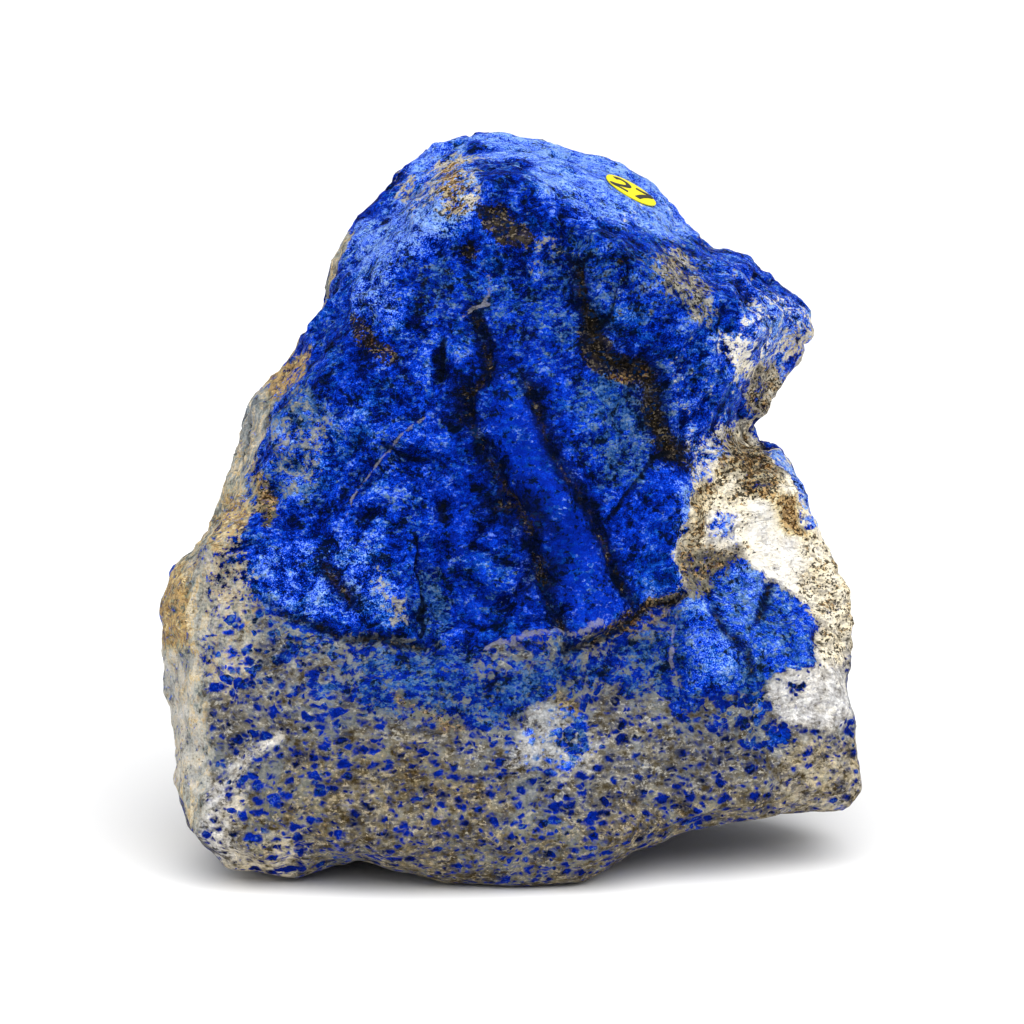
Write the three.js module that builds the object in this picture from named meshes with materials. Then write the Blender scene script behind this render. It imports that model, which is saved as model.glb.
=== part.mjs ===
// A rough lump of lapis lazuli standing on the small flat spot under it, with a round paper label on its top slope.
// Millimetres, +Z up. The main blue face looks along -Y and leans back.

import * as THREE from "three";
import { ImprovedNoise } from "three/addons/math/ImprovedNoise.js";
import { mergeVertices } from "three/addons/utils/BufferGeometryUtils.js";

// ---------------------------------------------------------------------------------------------------------------
// Driving dimensions
// ---------------------------------------------------------------------------------------------------------------

const LEAN = THREE.MathUtils.degToRad(12); // how far the main face leans back when the stone stands
const FLAT_SPOT_HEIGHT = 6.5; // where the flat spot's plane crosses the face frame's z axis

const RIM_DEPTH_AT_FOOT = -22; // depth of the outline's rim at z = 0 ...
const RIM_DEPTH_PER_MM = 0.38; // ... and how much further back it lies for each millimetre up
const FRONT_DRAFT = 0.3; // how fast the sides close in towards the front of the rim
const BACK_DRAFT = 0.14; // and towards the back of it

const EDGE_WEAR = 1.6; // width over which two fracture faces are rounded into each other
const SWELL = { size: 23, height: 1.6 }; // long, low unevenness of the skin
const CHIPS = { size: 7.5, height: 0.5 }; // short unevenness
const RIM_BAND = 9; // how close to the rim the long unevenness fades

const MESH_DETAIL = 19; // cuts of each icosahedron edge
const HEART = new THREE.Vector3(-2, 4, 47); // a point well inside, from which every part of the skin is in sight

const LABEL_DIAMETER = 8;
const LABEL_THICKNESS = 0.2;
const LABEL_GAP = 0.3; // clearance to the stone under it
const LABEL_SIDES = 32;
const LABEL_SPOT = { x: 17, z: 98 }; // where it sits on the top slope
const LABEL_SEAT = 6.5; // radius over which the slope under it is even

// ---------------------------------------------------------------------------------------------------------------
// The stone's shape, in the face frame: x to the right, y into the stone, z up the main face
// ---------------------------------------------------------------------------------------------------------------

// The outline of the main face, clockwise from the summit, as [x, z].
const OUTLINE = [
  // summit and the slope down to the right
  [-1.7, 107.3], [4, 106.3], [9, 104.9], [13.4, 104], [17.5, 101.5], [21.5, 98.7], [25.3, 94.2], [28.4, 90.6],
  // the block that juts out to the right, and the notch under it
  [33, 90], [36.3, 87], [39.4, 84.8], [41.9, 81.2], [41.5, 77.9], [39.5, 72.7], [35.1, 66.6], [33.6, 64],
  // right shoulder and right side
  [37, 62.6], [39.1, 59.9], [41.1, 55.7], [41.8, 52.5], [44.3, 47], [46.2, 40.7], [46.9, 35.2], [46.4, 28.4],
  [47.8, 21], [47.8, 14.8], [45.6, 12],
  // underside, with the arch between its two feet
  [39.4, 11.5], [32, 10.2], [25.7, 9.7], [20.2, 7.8], [14.7, 5], [10.8, 2.6], [3.8, 1.6], [-3, 1.6], [-9.8, 2.4],
  [-14.6, 3.8], [-20.1, 5.4], [-24.8, 4.4], [-30.2, 2.5], [-36.4, 4.1], [-40.5, 6.8],
  // left side
  [-43.4, 10.1], [-46.3, 15.5], [-46.8, 23.6], [-48.3, 32], [-48.9, 40], [-46.8, 45.4], [-43.5, 49], [-41.6, 53],
  [-39.8, 57.4], [-37.8, 63], [-36.9, 68.7], [-32.7, 73.2], [-29.8, 77.1], [-26.9, 82.2], [-24.4, 89.1],
  [-21.6, 94.8], [-16.7, 101.5], [-11.7, 104.8], [-6.7, 106.5],
].map(([x, z]) => new THREE.Vector2(x, z));

// A fracture face: it passes through (x, z) at this depth, and runs deeper by `right` for each millimetre to the
// right and by `up` for each millimetre up.
const face = (x, z, depth, right, up) => ({ x, z, depth, right, up });

const TOP_SLOPE = face(17, 98, 3.6, 1.39, 2.6);

// The front is made of lumps that stand out beside each other, each bounded by the faces that it was broken along.
const LUMPS = {
  body: [
    face(-15, 60, -22.5, -0.12, 0.24), // main face
    face(10, 60, -23, 0.45, 0.1), // turning away to the right
    face(-17, 87, -14, -0.45, 0.45), // upper left shoulder
    TOP_SLOPE,
    face(0, 20, -29.5, 0, 0.03), // front of the grey band
    face(-29, 20, -29.5, -0.42, 0.05), // the band turning away to the left
    face(16, 20, -29.5, 0.5, 0), // the band turning away to the right
    face(0, 9, -30, 0, -0.75), // the band turning under
  ],
  block: [
    face(18, 75, -20.5, 0.4, -0.2), // front, leaning out
    face(18, 90.3, -19, 1, 4), // top
    face(28, 64, -15.5, 0.4, -2.2), // underside, over the notch
    face(20, 72, -19.2, -1.6, -1.4), // lower left
    face(11, 80, -20.5, -0.8, -0.3), // left end
    face(37, 80, -10, 2, -0.3), // right end
  ],
  right_shoulder: [
    face(35, 52, -6, 0.8, 0.8), // pale slope that looks up and right
    face(32, 38, -21, 0.4, 0.12), // blue face under it
    face(32, 27, -22.4, 0.45, 0.02), // the band below, running on to the right
    face(23, 45, -23, -2, 0), // left end
  ],
};

// Hollows that were broken out of the body above the grey band.
const LEDGE = face(-2, 33, -30, -0.2, 1.6);
const HOLLOWS = {
  wide: [
    face(8, 50, -24, 0.3, -0.06), // floor
    face(-13, 40, -27, 3, 0), // left wall
    LEDGE,
  ],
  deep: [
    face(-3, 42, -24, -0.1, 0.08), // floor
    face(-13, 40, -27, 3, 0), // left wall
    face(5, 43, -25.5, -1.5, -0.47), // right wall
    LEDGE,
  ],
};

// Fracture faces of the back. Here too, depth grows away from the front.
const BACK = [
  face(0, 50, 33, -0.08, -0.1), // main face of the back
  face(-38, 45, 14, 0.95, 0.1), // back left
  face(42, 40, 12, -0.85, 0.15), // back right
  face(5, 104, 24, -0.2, -0.95), // upper back
  face(-20, 98, 22, 0.7, -0.5), // upper back left
  face(0, 20, 32, 0.1, 0.5), // lower back, turning under
  face(38, 80, 16, -1.1, -0.35), // behind the block
];

// ---------------------------------------------------------------------------------------------------------------
// Measures: each is negative inside the stone and grows outwards
// ---------------------------------------------------------------------------------------------------------------

const steepness = (f) => Math.hypot(1, f.right, f.up);
const depthAt = (f, p) => f.depth + f.right * (p.x - f.x) + f.up * (p.z - f.z);
const inFrontOf = (f, p) => (depthAt(f, p) - p.y) / steepness(f);
const behind = (f, p) => (p.y - depthAt(f, p)) / steepness(f);

// The larger of two measures, rounded where they meet.
function wornMax(a, b) {
  const near = Math.max(EDGE_WEAR - Math.abs(a - b), 0) / EDGE_WEAR;
  return Math.max(a, b) + (near * near * EDGE_WEAR) / 4;
}

const wornMin = (a, b) => -wornMax(-a, -b);
const wornMaxOf = (values) => values.reduce(wornMax);
const wornMinOf = (values) => values.reduce(wornMin);

// How far inside the outline the point (x, z) lies; negative outside it.
function insideOutline(x, z) {
  let nearest = Infinity;
  let inside = false;
  for (let i = 0, j = OUTLINE.length - 1; i < OUTLINE.length; j = i++) {
    const a = OUTLINE[j];
    const b = OUTLINE[i];
    const dx = b.x - a.x;
    const dz = b.y - a.y;
    const along = ((x - a.x) * dx + (z - a.y) * dz) / (dx * dx + dz * dz);
    const t = THREE.MathUtils.clamp(along, 0, 1);
    nearest = Math.min(nearest, Math.hypot(x - a.x - t * dx, z - a.y - t * dz));
    if (a.y > z !== b.y > z && x < a.x + (dx * (z - a.y)) / dz) inside = !inside;
  }
  return inside ? nearest : -nearest;
}

const behindRim = (p) => p.y - RIM_DEPTH_AT_FOOT - RIM_DEPTH_PER_MM * p.z;

function outsideSides(p) {
  const draft = behindRim(p) < 0 ? FRONT_DRAFT : BACK_DRAFT;
  return (draft * Math.abs(behindRim(p)) - insideOutline(p.x, p.z)) / Math.hypot(1, draft);
}

function outsideFront(p) {
  const lump = (faces) => wornMaxOf(faces.map((f) => inFrontOf(f, p)));
  const hollow = (faces) => wornMinOf(faces.map((f) => inFrontOf(f, p)));
  const body = wornMaxOf([lump(LUMPS.body), hollow(HOLLOWS.wide), hollow(HOLLOWS.deep)]);
  return wornMinOf([body, lump(LUMPS.block), lump(LUMPS.right_shoulder)]);
}

const outsideBack = (p) => wornMaxOf(BACK.map((f) => behind(f, p)));

const noise = new ImprovedNoise();
const waves = (p, { size, height }) => height * noise.noise(p.x / size + 40, p.y / size + 40, p.z / size + 40);

const LABEL_SEAT_CENTRE = new THREE.Vector3(LABEL_SPOT.x, depthAt(TOP_SLOPE, LABEL_SPOT), LABEL_SPOT.z);

// The skin is uneven everywhere but under the label and along the rim, where the outline itself is.
function unevenness(p) {
  const awayFromLabel = THREE.MathUtils.smoothstep(p.distanceTo(LABEL_SEAT_CENTRE), LABEL_SEAT, 2 * LABEL_SEAT);
  const awayFromRim = THREE.MathUtils.smoothstep(Math.abs(behindRim(p)), 0, RIM_BAND);
  return awayFromLabel * (waves(p, CHIPS) + awayFromRim * waves(p, SWELL));
}

// The flat spot is a level plane, so it slants in the face frame.
const underFlatSpot = (p) => (FLAT_SPOT_HEIGHT - p.z) * Math.cos(LEAN) + p.y * Math.sin(LEAN);

function outside(p) {
  const rough = wornMaxOf([outsideSides(p), outsideFront(p), outsideBack(p)]) + unevenness(p);
  return Math.max(rough, underFlatSpot(p));
}

// ---------------------------------------------------------------------------------------------------------------
// Solids
// ---------------------------------------------------------------------------------------------------------------

const SEARCH_STEP = 1;
const SEARCH_END = 120;
const BEFORE_THE_FRONT = -60; // a depth in front of every part of the stone
const HALVINGS = 24;

// The point where a ray first crosses the skin, whether it starts inside or outside.
function crossing(start, direction) {
  const p = new THREE.Vector3();
  const isOutside = (r) => outside(p.copy(direction).multiplyScalar(r).add(start)) > 0;
  const startsOutside = isOutside(0);
  let far = SEARCH_STEP;
  while (far < SEARCH_END && isOutside(far) === startsOutside) far += SEARCH_STEP;
  let near = far - SEARCH_STEP;
  for (let i = 0; i < HALVINGS; i++) {
    const middle = (near + far) / 2;
    if (isOutside(middle) === startsOutside) near = middle;
    else far = middle;
  }
  return new THREE.Vector3().copy(direction).multiplyScalar(near).add(start);
}

// Turns the face frame upright: leans it back and lifts the flat spot to z = 0.
const uprighting = new THREE.Matrix4()
  .makeTranslation(0, 0, -FLAT_SPOT_HEIGHT * Math.cos(LEAN))
  .multiply(new THREE.Matrix4().makeRotationX(-LEAN));

function stoneGeometry() {
  const ball = new THREE.IcosahedronGeometry(1, MESH_DETAIL);
  ball.deleteAttribute("normal");
  ball.deleteAttribute("uv");
  const geometry = mergeVertices(ball, 1e-4);
  const position = geometry.getAttribute("position");
  for (let i = 0; i < position.count; i++) {
    const direction = new THREE.Vector3().fromBufferAttribute(position, i).normalize();
    const p = crossing(HEART, direction).applyMatrix4(uprighting);
    const onFlatSpot = Math.abs(p.z) < 0.01;
    position.setXYZ(i, p.x, p.y, onFlatSpot ? 0 : p.z);
  }
  geometry.computeVertexNormals();
  return geometry;
}

const stone = new THREE.Mesh(
  stoneGeometry(),
  new THREE.MeshStandardMaterial({ color: 0x1d3fb4, roughness: 0.6, metalness: 0 }),
);
stone.name = "stone";

// The label lies on the top slope, its own axis along the slope's outward normal.
const label = new THREE.Mesh(
  new THREE.CylinderGeometry(LABEL_DIAMETER / 2, LABEL_DIAMETER / 2, LABEL_THICKNESS, LABEL_SIDES),
  new THREE.MeshStandardMaterial({ color: 0xf5e400, roughness: 0.55, metalness: 0 }),
);
label.name = "label";

// The skin's slope across the label gives the plane that the label lies in.
const intoTheStone = new THREE.Vector3(0, 1, 0);
const skinAt = (x, z) => crossing(new THREE.Vector3(x, BEFORE_THE_FRONT, z), intoTheStone);
const reachOfLabel = LABEL_DIAMETER / 3;
const across = skinAt(LABEL_SPOT.x + reachOfLabel, LABEL_SPOT.z).sub(skinAt(LABEL_SPOT.x - reachOfLabel, LABEL_SPOT.z));
const upwards = skinAt(LABEL_SPOT.x, LABEL_SPOT.z + reachOfLabel / 2).sub(skinAt(LABEL_SPOT.x, LABEL_SPOT.z));
const labelNormal = across.cross(upwards).normalize();
label.position
  .copy(skinAt(LABEL_SPOT.x, LABEL_SPOT.z))
  .addScaledVector(labelNormal, LABEL_GAP + LABEL_THICKNESS / 2)
  .applyMatrix4(uprighting);
label.quaternion
  .setFromUnitVectors(new THREE.Vector3(0, 1, 0), labelNormal)
  .premultiply(new THREE.Quaternion().setFromRotationMatrix(uprighting));

// The part's origin is on the ground, under the middle of its bounding box.
const specimen = new THREE.Group();
specimen.add(stone, label);
const middle = new THREE.Box3().setFromObject(specimen, true).getCenter(new THREE.Vector3());
specimen.position.set(-middle.x, -middle.y, 0);

export default specimen;
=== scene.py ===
import math

import bmesh
import bpy
import numpy as np
from mathutils import Matrix, Vector
from mathutils.bvhtree import BVHTree


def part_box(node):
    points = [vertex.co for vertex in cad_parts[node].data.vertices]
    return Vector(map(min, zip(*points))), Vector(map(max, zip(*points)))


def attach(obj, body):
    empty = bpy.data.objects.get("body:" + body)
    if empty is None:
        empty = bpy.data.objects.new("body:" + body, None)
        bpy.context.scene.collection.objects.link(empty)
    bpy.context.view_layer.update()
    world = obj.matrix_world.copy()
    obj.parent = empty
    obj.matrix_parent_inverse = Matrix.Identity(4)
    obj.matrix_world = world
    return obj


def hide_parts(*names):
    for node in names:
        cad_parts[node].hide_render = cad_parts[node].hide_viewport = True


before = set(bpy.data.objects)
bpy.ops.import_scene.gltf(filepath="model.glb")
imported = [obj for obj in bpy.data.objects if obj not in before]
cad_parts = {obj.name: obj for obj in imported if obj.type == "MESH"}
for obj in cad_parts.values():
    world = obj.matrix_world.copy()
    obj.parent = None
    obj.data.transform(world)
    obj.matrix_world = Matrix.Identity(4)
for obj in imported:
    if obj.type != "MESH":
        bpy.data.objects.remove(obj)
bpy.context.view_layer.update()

bl_info = {
    "name": "Rough Lapis Specimen",
    "version": (1, 0, 0),
    "blender": (4, 5, 0),
    "location": "3D View > Sidebar > Lapis",
    "description": "Carves, colours and lights a rough lapis lazuli specimen with a round paper label",
    "category": "Mesh",
}

MM = 0.001
GROUND_CLEAR = 1.2  # height over the ground, in mm, within which the resting spot stays flat
LABEL_CLEAR = (4.8, 7.5)  # distances from the label, in mm, between which the carving comes in
BACK_VEIN_SPACING = 26.0
NARROWEST = 0.6  # half width, in mm, of the finest groove that the skin can carry

# How many times values are averaged with their neighbours: the normals that carving follows, the heights
# that tell ridges from hollows, and the normals that sort faces into flat views.
NORMAL_ROUNDS, RELIEF_ROUNDS, VIEW_ROUNDS = 6, 14, 24

# The main face leans back, so its marks are laid out in a frame that leans with it: x to the right, y
# into the stone and z up the face, in mm. A mark is given by (x, z) where it shows to an eye far in
# front.
LEAN = math.radians(12.0)
FACE_ORIGIN = Vector((0.403, -10.67, -6.358))
EYE_DISTANCE = 800.0
EYE_HEIGHT = 52.92
LEANING = Matrix.Rotation(-LEAN, 3, "X")


def to_face(points):
    """World points in mm, in the leaning frame of the main face."""
    return (points - np.array(FACE_ORIGIN)) @ np.array(LEANING)


def from_face(x, y, z):
    """A point of the leaning frame, in mm, as a world point in metres."""
    return (LEANING @ Vector((x, y, z)) + FACE_ORIGIN) * MM


def seen(points):
    """Where face-frame points show on the face plane, to the far eye."""
    scale = EYE_DISTANCE / (EYE_DISTANCE + points[:, 1])
    return np.stack((points[:, 0] * scale, EYE_HEIGHT + (points[:, 2] - EYE_HEIGHT) * scale), axis=1)


# ---- number fields -----------------------------------------------------------------------------------


def ramp(value, low, high):
    """0 below low, 1 above high and a smooth slope between."""
    t = np.clip((value - low) / (high - low), 0.0, 1.0)
    return t * t * (3.0 - 2.0 * t)


def random_of(cells, seed):
    """Three even random numbers from 0 to 1 for each whole-number cell."""
    h = cells[..., 0] * 73856093 ^ cells[..., 1] * 19349663 ^ cells[..., 2] * 83492791
    h = h ^ (seed * 40503 + 977)
    found = []
    for _ in range(3):
        h = (h ^ (h >> 15)) * 2246822519 & 0x7FFFFFFF
        h = (h ^ (h >> 13)) * 3266489917 & 0x7FFFFFFF
        h = h ^ (h >> 16)
        found.append((h & 0xFFFFF) / float(0xFFFFF))
    return np.stack(found, axis=-1)


def clouds(points, size, seed, layers=1):
    """Smooth noise from about -1 to 1, with blobs of the given size in mm."""
    total = np.zeros(len(points))
    weight, norm = 1.0, 0.0
    for layer in range(layers):
        place = points / size * 2.0**layer
        cell = np.floor(place).astype(np.int64)
        part = place - cell
        part = part * part * (3.0 - 2.0 * part)
        value = np.zeros(len(points))
        for corner in range(8):
            step = np.array([corner & 1, corner >> 1 & 1, corner >> 2 & 1])
            share = np.prod(np.where(step, part, 1.0 - part), axis=1)
            value += share * random_of(cell + step, seed + layer)[:, 0]
        total += weight * (value * 2.0 - 1.0)
        norm += weight
        weight *= 0.5
    return total / norm * 1.5


def scoops(points, size, tilt, bowl, seed):
    """Heights, in mm, of a skin broken into tilted shallow bowls that meet in crisp ridges."""
    place = points / size
    cell = np.floor(place).astype(np.int64)
    lowest = np.full(len(points), 1e9)
    for step in np.ndindex(3, 3, 3):
        near = cell + (np.array(step) - 1)
        away = (place - near - random_of(near, seed)) * size
        lean = random_of(near, seed + 71) * 2.0 - 1.0
        height = tilt * np.sum(lean * away, axis=1) + bowl * np.sum(away * away, axis=1) / size
        lowest = np.minimum(lowest, height)
    return lowest


def path_distance(spots, path):
    """Distance from each 2D spot to a path of straight pieces."""
    best = np.full(len(spots), 1e9)
    for start, end in zip(path[:-1], path[1:]):
        a, along = np.array(start), np.subtract(end, start)
        t = np.clip((spots - a) @ along / (along @ along), 0.0, 1.0)
        best = np.minimum(best, np.linalg.norm(spots - a - t[:, None] * along, axis=1))
    return best


def depth_inside(spots, outline):
    """Distance of each 2D spot to a closed outline, positive inside it."""
    ring = list(outline) + [outline[0]]
    inside = np.zeros(len(spots), dtype=bool)
    for (ax, ay), (bx, by) in zip(ring[:-1], ring[1:]):
        crosses = (ay > spots[:, 1]) != (by > spots[:, 1])
        if ay != by:
            inside ^= crosses & (spots[:, 0] < ax + (spots[:, 1] - ay) * (bx - ax) / (by - ay))
    gap = path_distance(spots, ring)
    return np.where(inside, gap, -gap)


# ---- what the stone is made of, and where ------------------------------------------------------------

# Top edge of the grey band, from left to right.
BAND_TOP = [(-60, 32), (-50.7, 32.9), (-43.7, 36.7), (-39.5, 40.3), (-35.1, 40), (-31.6, 37.9),
            (-26.9, 36), (-19.2, 36.4), (-13.3, 35.3), (-9.4, 33.3), (-5.9, 31.6), (-2.4, 32.8),
            (3.9, 34.2), (8.1, 35.3), (12.3, 36.8), (17.9, 38.9), (22.6, 40.9), (23.2, 33.6),
            (24.1, 27.7), (27.7, 27.4), (31.9, 28.3), (35.3, 29.4), (40.3, 31.6), (43.1, 32.9), (50, 35),
            (60, 36)]


def zone(name, outline, soft, **stuff):
    """A patch of the face: outline, softness of its edge in mm, and what it turns the stone to."""
    return name, outline, soft, stuff


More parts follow.
